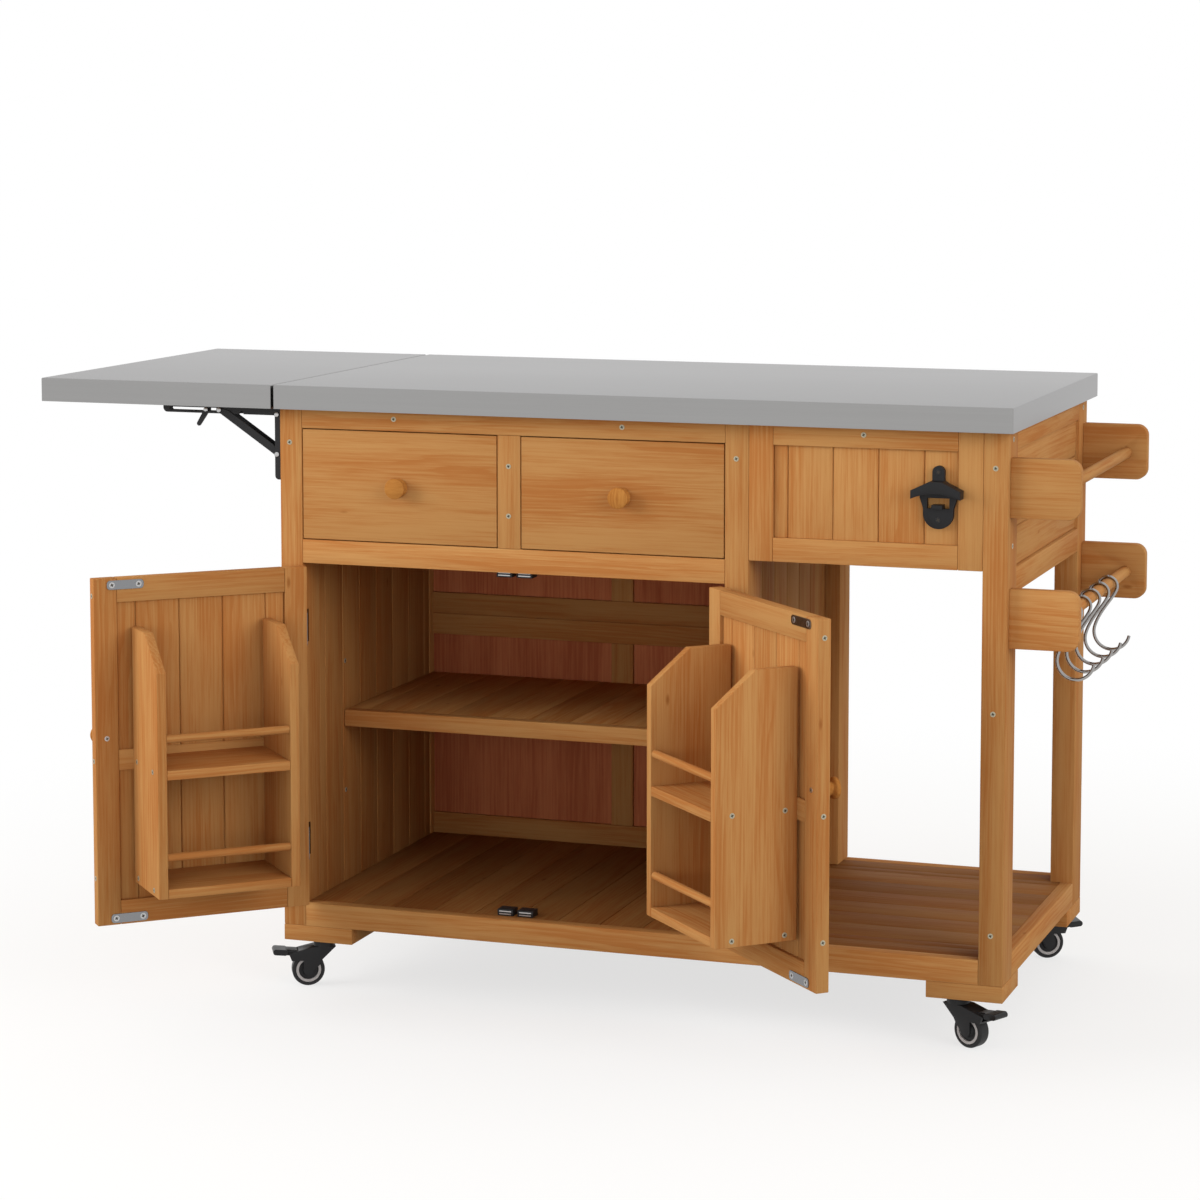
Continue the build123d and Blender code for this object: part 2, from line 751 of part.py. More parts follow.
# Towel rack: rounded arms on the right-hand posts, with a bar between each pair
arm_front = body_front + arm_inset
arm_rear = body_rear - arm_inset - arm_thick
arm_lows = [worktop_under - upper_arm_top - arm_high - arm_pitch * n for n in range(2)]
bar_x = body_right + bar_reach
with BuildPart() as rack_arms:
    for arm_low in arm_lows:
        for arm_y in (arm_front, arm_rear):
            with BuildSketch(Plane.XZ.offset(-arm_y)):
                with Locations((body_right + arm_long / 2, arm_low + arm_high / 2)):
                    arm_face = Rectangle(arm_long, arm_high)
                fillet(arm_face.vertices().sort_by(Axis.X)[-2:], arm_corner)
            extrude(amount=-arm_thick)
        with BuildSketch(Plane.XZ.offset(-(arm_front + arm_thick - bar_socket))):
            with Locations((bar_x, arm_low + arm_high / 2)):
                Circle(bar_radius + bar_clear)
        extrude(amount=-(arm_rear - arm_front - arm_thick + 2 * bar_socket), mode=Mode.SUBTRACT)
save(rack_arms, "rack_arms")

bar_start = arm_front + arm_thick - bar_socket + bar_clear
bar_end = arm_rear + bar_socket - bar_clear
with BuildPart() as rack_bars:
    for arm_low in arm_lows:
        with BuildSketch(Plane.XZ.offset(-bar_start)):
            with Locations((bar_x, arm_low + arm_high / 2)):
                Circle(bar_radius)
        extrude(amount=-(bar_end - bar_start))
save(rack_bars, "rack_bars")

# S-hooks: a loop over the lower bar and a wider open bend below it
hook_level = arm_lows[1] + arm_high / 2
loop_level = hook_level + bar_radius + hook_rest_gap + hook_wire_radius - hook_loop_radius
bend_level = loop_level - hook_drop
for number in range(hook_count):
    hook_y = arm_front + arm_thick + hook_first + hook_pitch * number
    hook_plane = Plane.XZ.offset(-hook_y)
    loop_middle = (bar_x, loop_level)
    bend_middle = (bar_x + hook_shift, bend_level)
    with BuildPart() as hook:
        with BuildLine(hook_plane) as wire:
            loop = CenterArc(loop_middle, hook_loop_radius, hook_loop_start_angle, -hook_loop_turn_angle)
            bend = CenterArc(bend_middle, hook_bend_radius, hook_bend_start_angle, hook_bend_turn_angle)
            Bezier(
                loop @ 1,
                loop @ 1 + (loop % 1) * hook_loop_radius,
                bend @ 0 - (bend % 0) * hook_bend_radius,
                bend @ 0,
            )
        with BuildSketch(Plane(origin=loop @ 0, z_dir=loop % 0)):
            Circle(hook_wire_radius)
        sweep(path=wire.line)
    save(hook, f"s_hook_{number + 1}")

# Bottle opener: a cast plate with a window, a hood over it and a tooth that lifts the cap
opener_x = bay_right - opener_inset
opener_y = front_plank_y[0]
tab_top = worktop_under - opener_top
hood_top = tab_top - opener_tab_high
shoulder_level = hood_top - opener_shoulder_drop
hood_low = shoulder_level - opener_side_high
window_low = hood_low - opener_window_high
shield_level = window_low - opener_shield_straight
plate_front = body_front - opener_plate_proud


def hood_outline(inset):
    """The hood seen from the front, with an arched lower lip; inset shrinks it to the cavity inside."""
    half = opener_half - inset
    top = hood_top - inset
    sides = ((half, hood_low), (half, shoulder_level), (opener_tab_half, top))
    right = [(opener_x + x, z) for x, z in sides]
    left = [(opener_x - x, z) for x, z in reversed(sides)]
    Polyline(right[0], *right[1:], *left)
    ThreePointArc(left[-1], (opener_x, hood_low + opener_lip_rise), right[0])


with BuildPart() as bottle_opener:
    with BuildSketch(Plane.XZ.offset(-opener_y)):
        with BuildLine():
            outline = (
                (opener_tab_half, tab_top - opener_tab_half),
                (opener_tab_half, hood_top),
                (opener_arm_half, shoulder_level),
                (opener_arm_half, hood_low),
                (opener_shield_half, window_low),
                (opener_shield_half, shield_level),
            )
            right = [(opener_x + x, z) for x, z in outline]
            left = [(opener_x - x, z) for x, z in outline]
            Polyline(*right)
            Polyline(*left)
            ThreePointArc(right[0], (opener_x, tab_top), left[0])
            ThreePointArc(right[-1], (opener_x, shield_level - opener_shield_half), left[-1])
        make_face()
        with Locations((opener_x, window_low + opener_window_high / 2)):
            Rectangle(2 * opener_window_half, opener_window_high, mode=Mode.SUBTRACT)
    extrude(amount=apron_recess + opener_plate_proud)
    with BuildSketch(Plane.XZ.offset(slide_gap - body_front)):
        with BuildLine():
            hood_outline(0)
        make_face()
    extrude(amount=opener_hood_deep)
    with BuildSketch(Plane.XZ.offset(-plate_front)):
        with BuildLine():
            hood_outline(opener_wall)
        make_face()
    extrude(amount=opener_hood_deep - opener_plate_proud - opener_wall, mode=Mode.SUBTRACT)
    board(
        (opener_x - opener_tooth_half, opener_x + opener_tooth_half),
        (opener_y, plate_front - opener_tooth_deep),
        (window_low, window_low + opener_tooth_high),
    )
save(bottle_opener, "bottle_opener")


# Folding brackets: a rail on the leaf, a rail on the post, and a strut that slides and locks between them

pivot_x = body_left - pivot_out
pivot_z = worktop_under - pivot_drop
strut_base_z = pivot_z - strut_pin_drop
strut_rise = strut_pin_drop + strut_pin_rise
strut_long = hypot(strut_pin_along, strut_rise)
strut_angle = degrees(atan2(strut_rise, -strut_pin_along))
bracket_ys = {"front": body_front + bracket_inset, "rear": body_rear - bracket_inset}


def side_plates(middle_y, outer_half, draw):
    """Add a matching pair of bracket side plates, each drawn on its own upright plane."""
    for side in (-1, 1):
        inner_y = middle_y + side * (outer_half - bracket_sheet)
        with BuildSketch(Plane.XZ.offset(-inner_y)) as plate:
            draw()
        extrude(plate.sketch, amount=-side * bracket_sheet)


def cross_pin(middle_y, x, z, radius, half):
    """Add a pin across a bracket."""
    with BuildSketch(Plane.XZ.offset(-middle_y)) as pin:
        with Locations((x, z)):
            Circle(radius)
    extrude(pin.sketch, amount=half, both=True)


def hole(x, z, radius):
    """Cut a round hole in the plate being drawn."""
    with Locations((x, z)):
        Circle(radius, mode=Mode.SUBTRACT)


def wall_rail_plate():
    low = pivot_z + wall_rail_above - wall_rail_long
    with Locations((body_left - wall_rail_deep / 2, low + wall_rail_long / 2)):
        plate = Rectangle(wall_rail_deep, wall_rail_long)
    fillet(plate.vertices().sort_by(Axis.X)[:2], wall_rail_corner)


def leaf_rail_plate():
    """A slotted plate, with a notch that drops over the strut's lower pin when the leaf hangs."""
    low = pivot_z - leaf_rail_under
    far = pivot_x - leaf_rail_long
    near = pivot_x + leaf_rail_nose / 2
    with Locations(((far + near) / 2, (low + worktop_under) / 2)):
        plate = Rectangle(near - far, worktop_under - low)
    fillet(plate.vertices().group_by(Axis.Y)[0].sort_by(Axis.X)[0], leaf_rail_corner)
    with Locations((pivot_x, pivot_z)):
        Circle(leaf_rail_nose)
    slot_far = strut_long + strut_pin_drop + slot_spare
    slot_near = strut_pin_along - slot_spare
    with Locations((pivot_x - (slot_far + slot_near) / 2, pivot_z + strut_pin_rise)):
        SlotCenterToCenter(slot_far - slot_near, slot_wide, mode=Mode.SUBTRACT)
    hole(pivot_x, pivot_z, bracket_pin_radius + pin_clear)
    notch = bracket_pin_radius + pin_notch_clear
    hole(pivot_x - strut_pin_drop, pivot_z, notch)
    with Locations((pivot_x - strut_pin_drop, pivot_z - leaf_rail_under)):
        Rectangle(2 * notch, 2 * leaf_rail_under, mode=Mode.SUBTRACT)


def strut_point(u, v):
    """A point u along the strut from its lower pin, and v to its open side."""
    a = radians(strut_angle)
    return (pivot_x + u * cos(a) + v * sin(a), strut_base_z + u * sin(a) - v * cos(a))


def strut_plate():
    low_round = bracket_pin_radius + bracket_sheet
    Polygon(
        strut_point(0, -strut_web_side),
        strut_point(strut_long, -strut_web_side),
        strut_point(strut_long, strut_end_radius - bracket_sheet),
        strut_point(strut_long - strut_flare, strut_open_side),
        strut_point(strut_flare, strut_open_side),
        strut_point(0, low_round - bracket_sheet / 2),
        align=None,
    )
    with Locations(strut_point(0, 0)):
        Circle(low_round)
    with Locations(strut_point(strut_long, 0)):
        Circle(strut_end_radius)
    hole(*strut_point(0, 0), bracket_pin_radius + pin_clear)


with BuildPart() as bracket_wall_rails:
    for middle_y in bracket_ys.values():
        side_plates(middle_y, wall_rail_half, wall_rail_plate)
        rail_top = pivot_z + wall_rail_above
        board(
            (body_left - bracket_sheet, body_left),
            (middle_y - wall_rail_half, middle_y + wall_rail_half),
            (rail_top - wall_rail_long, rail_top),
        )
        for pin_z in (pivot_z, strut_base_z):
            cross_pin(middle_y, pivot_x, pin_z, bracket_pin_radius, wall_rail_half + rivet_head_thick)
            for side in (-1, 1):
                head_y = middle_y + side * wall_rail_half
                with BuildSketch(Plane.XZ.offset(-head_y)):
                    with Locations((pivot_x, pin_z)):
                        Circle(rivet_head_radius)
                extrude(amount=-side * rivet_head_thick)
save(bracket_wall_rails, "bracket_wall_rails")

with BuildPart() as leaf_rails:
    for middle_y in bracket_ys.values():
        side_plates(middle_y, leaf_rail_half, leaf_rail_plate)
        board(
            (pivot_x - leaf_rail_long, pivot_x + leaf_rail_nose / 2),
            (middle_y - leaf_rail_half, middle_y + leaf_rail_half),
            (worktop_under - bracket_sheet, worktop_under),
        )
        cross_pin(middle_y, pivot_x - lever_along, pivot_z + lever_rise, lever_pin_radius, leaf_rail_half)
save(leaf_rails, "leaf_rails")

for place, middle_y in bracket_ys.items():
    with BuildPart() as strut:
        side_plates(middle_y, strut_half, strut_plate)
        for side in (-1, 1):
            with BuildSketch(Plane.XZ.offset(-(middle_y + side * strut_half))):
                with Locations(strut_point(strut_long, 0)):
                    Circle(rivet_head_radius)
            extrude(amount=-side * rivet_head_thick)
        with BuildSketch(Plane.XZ.offset(-middle_y)):
            with BuildLine():
                Polyline(
                    strut_point(strut_flare, -strut_web_side),
                    strut_point(strut_long - strut_fork_long, -strut_web_side),
                    strut_point(strut_long - strut_fork_long, bracket_sheet - strut_web_side),
                    strut_point(strut_flare, bracket_sheet - strut_web_side),
                    close=True,
                )
            make_face()
        extrude(amount=strut_half, both=True)
    save(strut, f"{place}_bracket_strut")

    lever_root = (pivot_x - lever_along, pivot_z + lever_rise)
    lean = radians(180 + lever_angle)
    lever_tip = (lever_root[0] + lever_long * cos(lean), lever_root[1] + lever_long * sin(lean))
    with BuildPart() as lever:
        with BuildSketch(Plane.XZ.offset(-middle_y)):
            with Locations(lever_root):
                Circle(lever_boss_radius)
            with Locations(lever_tip):
                Circle(lever_tip_radius)
            make_hull()
            hole(*lever_root, lever_pin_radius + pin_clear)
        extrude(amount=lever_thick / 2, both=True)
    save(lever, f"{place}_release_lever")

# Feet: blocks under the corner posts, bored for the caster stems
foot_xs = (body_left + foot_long / 2, body_right - foot_long / 2)
foot_ys = (body_front + foot_deep / 2, body_rear - foot_deep / 2)
stem_xs = {"left": body_left + left_stem_inset, "right": body_right - right_stem_inset}
stem_ys = {"front": body_front + stem_inset, "rear": body_rear - stem_inset}
stem_spots = {
    f"{row}_{end}": (stem_xs[end], stem_ys[row]) for row in stem_ys for end in stem_xs
}
with BuildPart() as feet:
    for foot_x in foot_xs:
        for foot_y in foot_ys:
            board(
                (foot_x - foot_long / 2, foot_x + foot_long / 2),
                (foot_y - foot_deep / 2, foot_y + foot_deep / 2),
                (caster_height, base_level),
            )
    with BuildSketch(Plane.XY.offset(caster_height)):
        with Locations(*stem_spots.values()):
            Circle(stem_radius + bar_clear)
    extrude(amount=stem_in_foot, mode=Mode.SUBTRACT)
save(feet, "feet")

collar_top = caster_height - stem_flange_thick - swivel_gap
with BuildPart() as caster_stems:
    with BuildSketch(Plane.XY.offset(caster_height - stem_flange_thick)):
        with Locations(*stem_spots.values()):
            Circle(stem_flange_radius)
    extrude(amount=stem_flange_thick)
    with BuildSketch(Plane.XY.offset(hood_level - stem_in_fork)):
        with Locations(*stem_spots.values()):
            Circle(stem_radius)
    extrude(amount=caster_height + stem_in_foot - bar_clear - hood_level + stem_in_fork)
save(caster_stems, "caster_stems")


# Casters: a hooded fork that swivels on its stem, a wheel, and a brake pedal over the tread

fork_half = wheel_wide / 2 + wheel_side_gap + fork_wall


def caster(place, spot, heading):
    """One caster; its local X runs from the stem towards the wheel."""
    along = (cos(radians(heading)), sin(radians(heading)), 0)
    spot = Vector(*spot, 0)
    side = upright_plane(spot, along)
    axle = (caster_trail, wheel_radius)
    pivot = (pedal_pivot_along, pedal_pivot_level)
    slot_half = wheel_wide / 2 + wheel_side_gap

    with BuildPart() as fork:
        with BuildSketch(side):
            with BuildLine():
                Polyline(
                    (-collar_radius, hood_level),
                    (throat_along, throat_level),
                    (arm_front_along, axle[1] + arm_end_radius),
                    (axle[0] - arm_end_radius, axle[1]),
                    (axle[0] + arm_end_radius, axle[1]),
                    (arm_rear_along, hood_low_level),
                    (hood_tail_along, hood_low_level),
                    (hood_tail_along + pedal_boss_radius, pivot[1]),
                    (collar_radius, hood_level),
                    close=True,
                )
            make_face()
            with Locations(axle):
                Circle(arm_end_radius)
        extrude(amount=fork_half, both=True)
        with BuildSketch(side):
            with Locations(axle):
                Circle(wheel_radius + wheel_tread_gap)
            with Locations((pivot[0] + pedal_boss_radius, pivot[1])):
                Rectangle(pedal_room, pedal_room)
        extrude(amount=slot_half, both=True, mode=Mode.SUBTRACT)
        with BuildSketch(Plane(origin=spot).offset(hood_level)):
            Circle(collar_radius)
        extrude(amount=collar_top - hood_level)
        with BuildSketch(Plane(origin=spot).offset(hood_level - stem_in_fork - slide_gap)):
            Circle(stem_radius + pin_clear)
        extrude(amount=collar_top - hood_level + stem_in_fork + slide_gap, mode=Mode.SUBTRACT)
        with BuildSketch(side):
            with Locations(axle):
                Circle(axle_radius)
            with Locations(pivot):
                Circle(pedal_pin_radius)
        extrude(amount=fork_half, both=True)
    save(fork, f"{place}_caster_fork")

    hub_radius = wheel_radius - tyre_thick
    axle_point = side.from_local_coords(Vector(*axle, 0))
    section = Plane(origin=axle_point, x_dir=(0, 0, 1), z_dir=along)
    spin = Axis(axle_point, section.y_dir)
    half = wheel_wide / 2
    with BuildPart() as tyre:
        with BuildSketch(section):
            with Locations(((hub_radius + wheel_radius) / 2, 0)):
                Rectangle(tyre_thick, wheel_wide)
            fillet(vertices().sort_by(Axis.X)[-2:], tyre_round)
        revolve(axis=spin)
    with BuildPart() as wheel:
        with BuildSketch(section):
            bore = axle_radius + axle_clear
            with BuildLine():
                Polyline(
                    (bore, -half),
                    (hub_boss_radius, -half),
                    (hub_boss_radius + hub_recess, hub_recess - half),
                    (ring_inner - pin_clear, hub_recess - half),
                    (ring_inner - pin_clear, 2 * hub_recess - half),
                    (ring_outer + pin_clear, 2 * hub_recess - half),
                    (ring_outer + pin_clear, ring_proud - half),
                    (hub_radius - pin_clear, ring_proud - half),
                    (hub_radius - pin_clear, half - ring_proud),
                    (ring_outer + pin_clear, half - ring_proud),
                    (ring_outer + pin_clear, half - 2 * hub_recess),
                    (ring_inner - pin_clear, half - 2 * hub_recess),
                    (ring_inner - pin_clear, half - hub_recess),
                    (hub_boss_radius + hub_recess, half - hub_recess),
                    (hub_boss_radius, half),
                    (bore, half),
                    close=True,
                )
            make_face()
        revolve(axis=spin)
        add(tyre.part)
        with BuildSketch(section):
            for sign in (-1, 1):
                ring_span = 2 * hub_recess - pin_clear
                with Locations(((ring_inner + ring_outer) / 2, sign * (half - ring_span / 2))):
                    Rectangle(ring_outer - ring_inner, ring_span)
        revolve(axis=spin)
    save(wheel, f"{place}_caster_wheel")

    tip = (pedal_tip_along, pedal_tip_level)
    with BuildPart() as pedal:
        with BuildSketch(side):
            with Locations(pivot):
                Circle(pedal_boss_radius)
            with Locations(tip):
                Circle(pedal_thick / 2)
            make_hull()
            with Locations(pivot):
                Circle(pedal_pin_radius + pin_clear, mode=Mode.SUBTRACT)
        extrude(amount=pedal_wide / 2, both=True)
        with BuildSketch(side):
            with Locations(tip):
                Circle(pedal_thick / 2)
            with Locations((tip[0] - pedal_toe_long, tip[1] - pedal_toe_drop)):
                Circle(pedal_thick / 2)
            make_hull()
        extrude(amount=pedal_toe_wide / 2, both=True)
    save(pedal, f"{place}_brake_pedal")


for place, spot in stem_spots.items():
    caster(place, spot, caster_headings[place])
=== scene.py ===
# %% [markdown]
# # Outdoor kitchen cart
# The packed model is loaded first and stays where it is: every board, hinge and caster below is fitted to
# it.

# %% Load the frame
import json
import random
from math import cos, pi, radians, sin

import bmesh
import bpy
from mathutils import Matrix, Vector


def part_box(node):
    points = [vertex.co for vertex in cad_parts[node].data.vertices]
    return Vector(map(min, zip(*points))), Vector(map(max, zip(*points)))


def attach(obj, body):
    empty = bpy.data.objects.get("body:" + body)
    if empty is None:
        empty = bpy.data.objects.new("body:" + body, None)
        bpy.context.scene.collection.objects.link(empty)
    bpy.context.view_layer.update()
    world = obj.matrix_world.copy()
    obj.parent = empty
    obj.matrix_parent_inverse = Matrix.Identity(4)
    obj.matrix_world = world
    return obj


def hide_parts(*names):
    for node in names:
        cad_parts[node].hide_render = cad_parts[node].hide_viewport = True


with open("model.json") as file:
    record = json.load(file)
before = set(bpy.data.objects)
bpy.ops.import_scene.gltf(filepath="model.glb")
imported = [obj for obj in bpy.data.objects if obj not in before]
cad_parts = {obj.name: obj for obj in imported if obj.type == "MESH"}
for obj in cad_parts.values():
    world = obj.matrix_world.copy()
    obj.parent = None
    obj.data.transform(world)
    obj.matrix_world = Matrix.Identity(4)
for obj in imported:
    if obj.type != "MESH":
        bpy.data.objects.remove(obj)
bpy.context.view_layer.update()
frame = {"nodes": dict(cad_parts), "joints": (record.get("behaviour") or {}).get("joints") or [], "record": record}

scene = bpy.context.scene
nodes = frame["nodes"]
bodies = frame["record"]["behaviour"]["bodies"]
body_of_node = {node: body for body, group in bodies.items() for node in group}

# %% [markdown]
# A finish is a small web of shader nodes, and sums between them read badly as boxes and wires. So one class
# stands for a socket and knows the arithmetic signs, each of which adds a Math node. One function feeds a
# socket, with such a reading, a number or a colour.

# %% Shader sums


class Reading:
    """One number that varies over a surface, with Python's arithmetic on it."""

    def __init__(self, tree, socket):
        self.tree = tree
        self.socket = socket

    def math(self, operation, first, second=0.0):
        """Add a Math node and give its result."""
        step = self.tree.nodes.new("ShaderNodeMath")
        step.operation = operation
        for slot, value in zip(step.inputs, (first, second)):
            plug(self.tree, slot, value)
        return Reading(self.tree, step.outputs[0])

    def __add__(self, other):
        return self.math("ADD", self, other)

    def __radd__(self, other):
        return self.math("ADD", other, self)

    def __sub__(self, other):
        return self.math("SUBTRACT", self, other)

    def __rsub__(self, other):
        return self.math("SUBTRACT", other, self)

    def __mul__(self, other):
        return self.math("MULTIPLY", self, other)

    def __rmul__(self, other):
        return self.math("MULTIPLY", other, self)

    def __pow__(self, other):
        return self.math("POWER", self, other)


def plug(tree, socket, value):
    """Link a reading to a socket, or set the socket's own value."""
    if isinstance(value, Reading):
        tree.links.new(value.socket, socket)
    elif isinstance(value, (tuple, list)) and len(value) == 3 and socket.type == "RGBA":
        socket.default_value = (*value, 1.0)
    else:
        socket.default_value = value


print("Reading:", Reading.__doc__)

# %% [markdown]
# Every other node comes from one method, which takes its kind, its settings and what its sockets get. The
# nodes that come up again and again have a short method of their own, so that a web reads like a recipe. A
# finish is such a web with a surface shader at its end.

# %% Webs and finishes
# A Mix node has sockets for numbers, vectors and colours, so the ones for colours are picked by number.
mix_factor, mix_first, mix_second, mix_result = 0, 6, 7, 2


def set_stops(ramp, stops):
    """Give a colour ramp its stops, each a place and a colour."""
    while len(ramp.elements) < len(stops):
        ramp.elements.new(1.0)
    for element, (place, colour) in zip(ramp.elements, stops):
        element.position = place
        element.color = (*colour, 1.0)


class Web:
    """A tree of shader nodes."""

    def __init__(self, tree):
        self.tree = tree

    def node(self, kind, settings, sockets, output=0):
        """Add a node, set it, feed its sockets, and give one of its outputs."""
        made = self.tree.nodes.new(kind)
        for name, value in settings.items():
            if name == "stops":
                set_stops(made.color_ramp, value)
            else:
                setattr(made, name, value)
        for name, value in sockets.items():
            plug(self.tree, made.inputs[name], value)
        return Reading(self.tree, made.outputs[output])

    def place(self, kind="Object"):
        """Where on the object a point lies."""
        return self.node("ShaderNodeTexCoord", {}, {}, output=kind)

    def axis(self, vector, name):
        """The X, Y or Z of a vector."""
        return self.node("ShaderNodeSeparateXYZ", {}, {0: vector}, output=name)

    def stretch(self, coords, along, across):
        """Scale a vector, so that a texture is drawn out along its first axis."""
        settings = {"operation": "MULTIPLY"}
        return self.node("ShaderNodeVectorMath", settings, {0: coords, 1: (along, across, across)})

    def noise(self, coords, scale, detail=3.0, roughness=0.5):
        """Cloudy noise with about so many cells to the metre."""
        settings = {"noise_dimensions": "3D"}
        sockets = {"Vector": coords, "Scale": scale, "Detail": detail, "Roughness": roughness}
        return self.node("ShaderNodeTexNoise", settings, sockets)

    def drawn_noise(self, coords, along, across, detail=3.0, roughness=0.5):
        """Noise with so many cells to the metre along the first axis, and so many across it."""
        return self.noise(self.stretch(coords, along, across), 1.0, detail, roughness)

    def blend(self, factor, first, second, kind="MIX"):
        """Mix two colours."""
        settings = {"data_type": "RGBA", "blend_type": kind, "clamp_factor": True}
        sockets = {mix_factor: factor, mix_first: first, mix_second: second}
        return self.node("ShaderNodeMix", settings, sockets, output=mix_result)

    def ramp(self, factor, stops):
        """A colour picked from a row of stops."""
        return self.node("ShaderNodeValToRGB", {"stops": stops}, {"Fac": factor})

    def band(self, value, low, high):
        """0 below low, 1 above high, smooth between."""
        settings = {"interpolation_type": "SMOOTHSTEP", "clamp": True}
        return self.node("ShaderNodeMapRange", settings, {"Value": value, "From Min": low, "From Max": high})

    def bump(self, height, strength, distance):
        """A normal that makes a height look raised by a distance."""
        sockets = {"Height": height, "Strength": strength, "Distance": distance}
        return self.node("ShaderNodeBump", {}, sockets)


class Finish(Web):
    """A material with one surface shader."""

    def __init__(self, name, **surface):
        self.material = bpy.data.materials.new(name)
        self.material.use_nodes = True
        super().__init__(self.material.node_tree)
        self.shader = self.tree.nodes["Principled BSDF"]
        self.set(**surface)

    def set(self, **surface):
        """Feed the surface shader's sockets by name."""
        for name, value in surface.items():
            plug(self.tree, self.shader.inputs[name.replace("_", " ")], value)


print("a web has", ", ".join(name for name in vars(Web) if not name.startswith("_")))

# %% [markdown]
# The timber is stained fir. On the real cart each board has its own cut: straight stripes where it was sawn
# across the rings, pointed arches where it was sawn along them. One wood picture would repeat from board to
# board. So every board carries its own coordinates in an attribute, with the first axis along its length,
# and the rings are drawn round a pith that lies outside the board. Streaks, fibres, clouds and pin knots
# are laid over the rings.

# %% Stained fir
rings_per_metre = 170.0
ring_sway = 0.05
ring_ripple = 1.6
late_start, late_end = 0.25, 0.90
ring_clouds = (0.36, 0.72)
ring_weight = 0.45
streak_weight = 1.60
fibre_weight = 0.80
cloud_weight = 1.60
stain_level = 0.42
pore_band = (0.64, 0.82)
pore_weight = 0.25
knot_band = (0.015, 0.060)
knot_weight = 0.75
fir_rough = 0.66
fibre_rough = 0.14
late_rough = 0.05
# The tone ramp scales each board's colour. Random board tones fall in its upper part. Its low end is painted
# shade, for the boards inside the cabinet and the tongues in the joints.
tone_and_painted_shade = ((0.0, (0.42, 0.36, 0.31)), (0.4, (0.84, 0.81, 0.78)), (1.0, (1.08, 1.09, 1.10)))


def late_wood(fir, coords):
    """1 in the dense late wood that ends each year's ring, 0 in the early wood."""
    sway = fir.drawn_noise(coords, along=1.6, across=9.0, detail=2.0)
    ripple = fir.drawn_noise(coords, along=6.0, across=90.0)
    across, depth = (fir.axis(coords, name) for name in "YZ")
    from_pith = (across * across + depth * depth) ** 0.5 + (sway - 0.5) * ring_sway
    turns = from_pith * rings_per_metre + ripple * ring_ripple
    ring = turns - turns.math("FLOOR", turns)
    return fir.band(ring, late_start, late_end) - fir.band(ring, late_end, 1.0)


def stained_fir(name, pale, deep, dark):
    """Fir under a translucent stain: pale early wood, deep late wood, dark pores and pin knots."""
    fir = Finish(name, IOR=1.45, Specular_IOR_Level=0.10)
    coords = fir.node("ShaderNodeAttribute", {"attribute_name": "grain"}, {}, output="Vector")
    tone = fir.node("ShaderNodeAttribute", {"attribute_name": "tone"}, {}, output="Fac")
    late = late_wood(fir, coords)
    streak = fir.drawn_noise(coords, along=5.0, across=260.0, detail=5.0, roughness=0.68)
    fibre = fir.drawn_noise(coords, along=18.0, across=1100.0, detail=4.0, roughness=0.65)
    cloud = fir.drawn_noise(coords, along=3.0, across=20.0, detail=5.0, roughness=0.58)
    weight = late * fir.band(cloud, *ring_clouds) * ring_weight
    for layer, share in ((streak, streak_weight), (fibre, fibre_weight), (cloud, cloud_weight)):
        weight = weight + (layer - 0.5) * share
    colour = fir.blend(fir.band(weight + stain_level, 0.0, 1.0), pale, deep)
    colour = fir.blend(fir.band(fibre, *pore_band) * pore_weight, colour, dark)
    knot_coords = fir.stretch(coords, along=5.0, across=14.0)
    knots = fir.node("ShaderNodeTexVoronoi", {}, {"Vector": knot_coords, "Scale": 1.0})
    colour = fir.blend((1.0 - fir.band(knots, *knot_band)) * knot_weight, colour, dark)
    # Higher tones vary the boards at random. A low tone is painted shade on the boards inside the cabinet and on
    # the tongues.
    colour = fir.blend(1.0, colour, fir.ramp(tone, tone_and_painted_shade), kind="MULTIPLY")
    fir.set(
        Base_Color=colour,
        Roughness=fir_rough + fibre * fibre_rough + late * late_rough,
        Normal=fir.bump(fibre * 0.7 + late * 0.3, strength=0.14, distance=0.0005),
    )
    return fir.material


fir_finish = stained_fir("stained_fir", (0.512, 0.265, 0.092), (0.430, 0.166, 0.045), (0.27, 0.088, 0.019))
knob_finish = stained_fir("turned_fir", (0.47, 0.205, 0.048), (0.36, 0.135, 0.028), (0.20, 0.065, 0.015))
ply_finish = stained_fir("red_plywood", (0.54, 0.180, 0.078), (0.39, 0.108, 0.045), (0.22, 0.055, 0.022))
core_finish = stained_fir("core_board", (0.50, 0.36, 0.22), (0.40, 0.27, 0.15), (0.25, 0.16, 0.09))
print("timber:", [finish.name for finish in (fir_finish, knob_finish, ply_finish, core_finish)])

# %% [markdown]
# The model's nodes are loose triangles. Before anything is added to a copy of one, its points are merged
# and its flat faces are made whole, because a bevel needs real edges. A node holds several boards, so they
# are told apart as the lumps that hang together.

# %% Welded copies
weld_reach = 2e-6
flat_turn = radians(1.0)


def welded_copy(node):
    """A bmesh of a node with its loose triangles joined up and flat faces made whole."""
    bm = bmesh.new()
    bm.from_mesh(nodes[node].data)
    bmesh.ops.remove_doubles(bm, verts=bm.verts, dist=weld_reach)
    bmesh.ops.dissolve_limit(bm, angle_limit=flat_turn, verts=bm.verts, edges=bm.edges)
    return bm


def islands(bm):
    """The connected lumps of a mesh, each as a list of vertices."""
    waiting = set(bm.verts)
    lumps = []
    for seed in list(bm.verts):
        if seed not in waiting:
            continue
        waiting.discard(seed)
        lump, rim = [seed], [seed]
        while rim:
            nearby = {e.other_vert(v) for v in rim for e in v.link_edges} & waiting
            waiting -= nearby
            rim = list(nearby)
            lump += rim
        lumps.append(lump)
    return lumps


def lump_box(lump):
    """The low and high corner of a lump."""
    return [Vector([pick(v.co[i] for v in lump) for i in range(3)]) for pick in (min, max)]


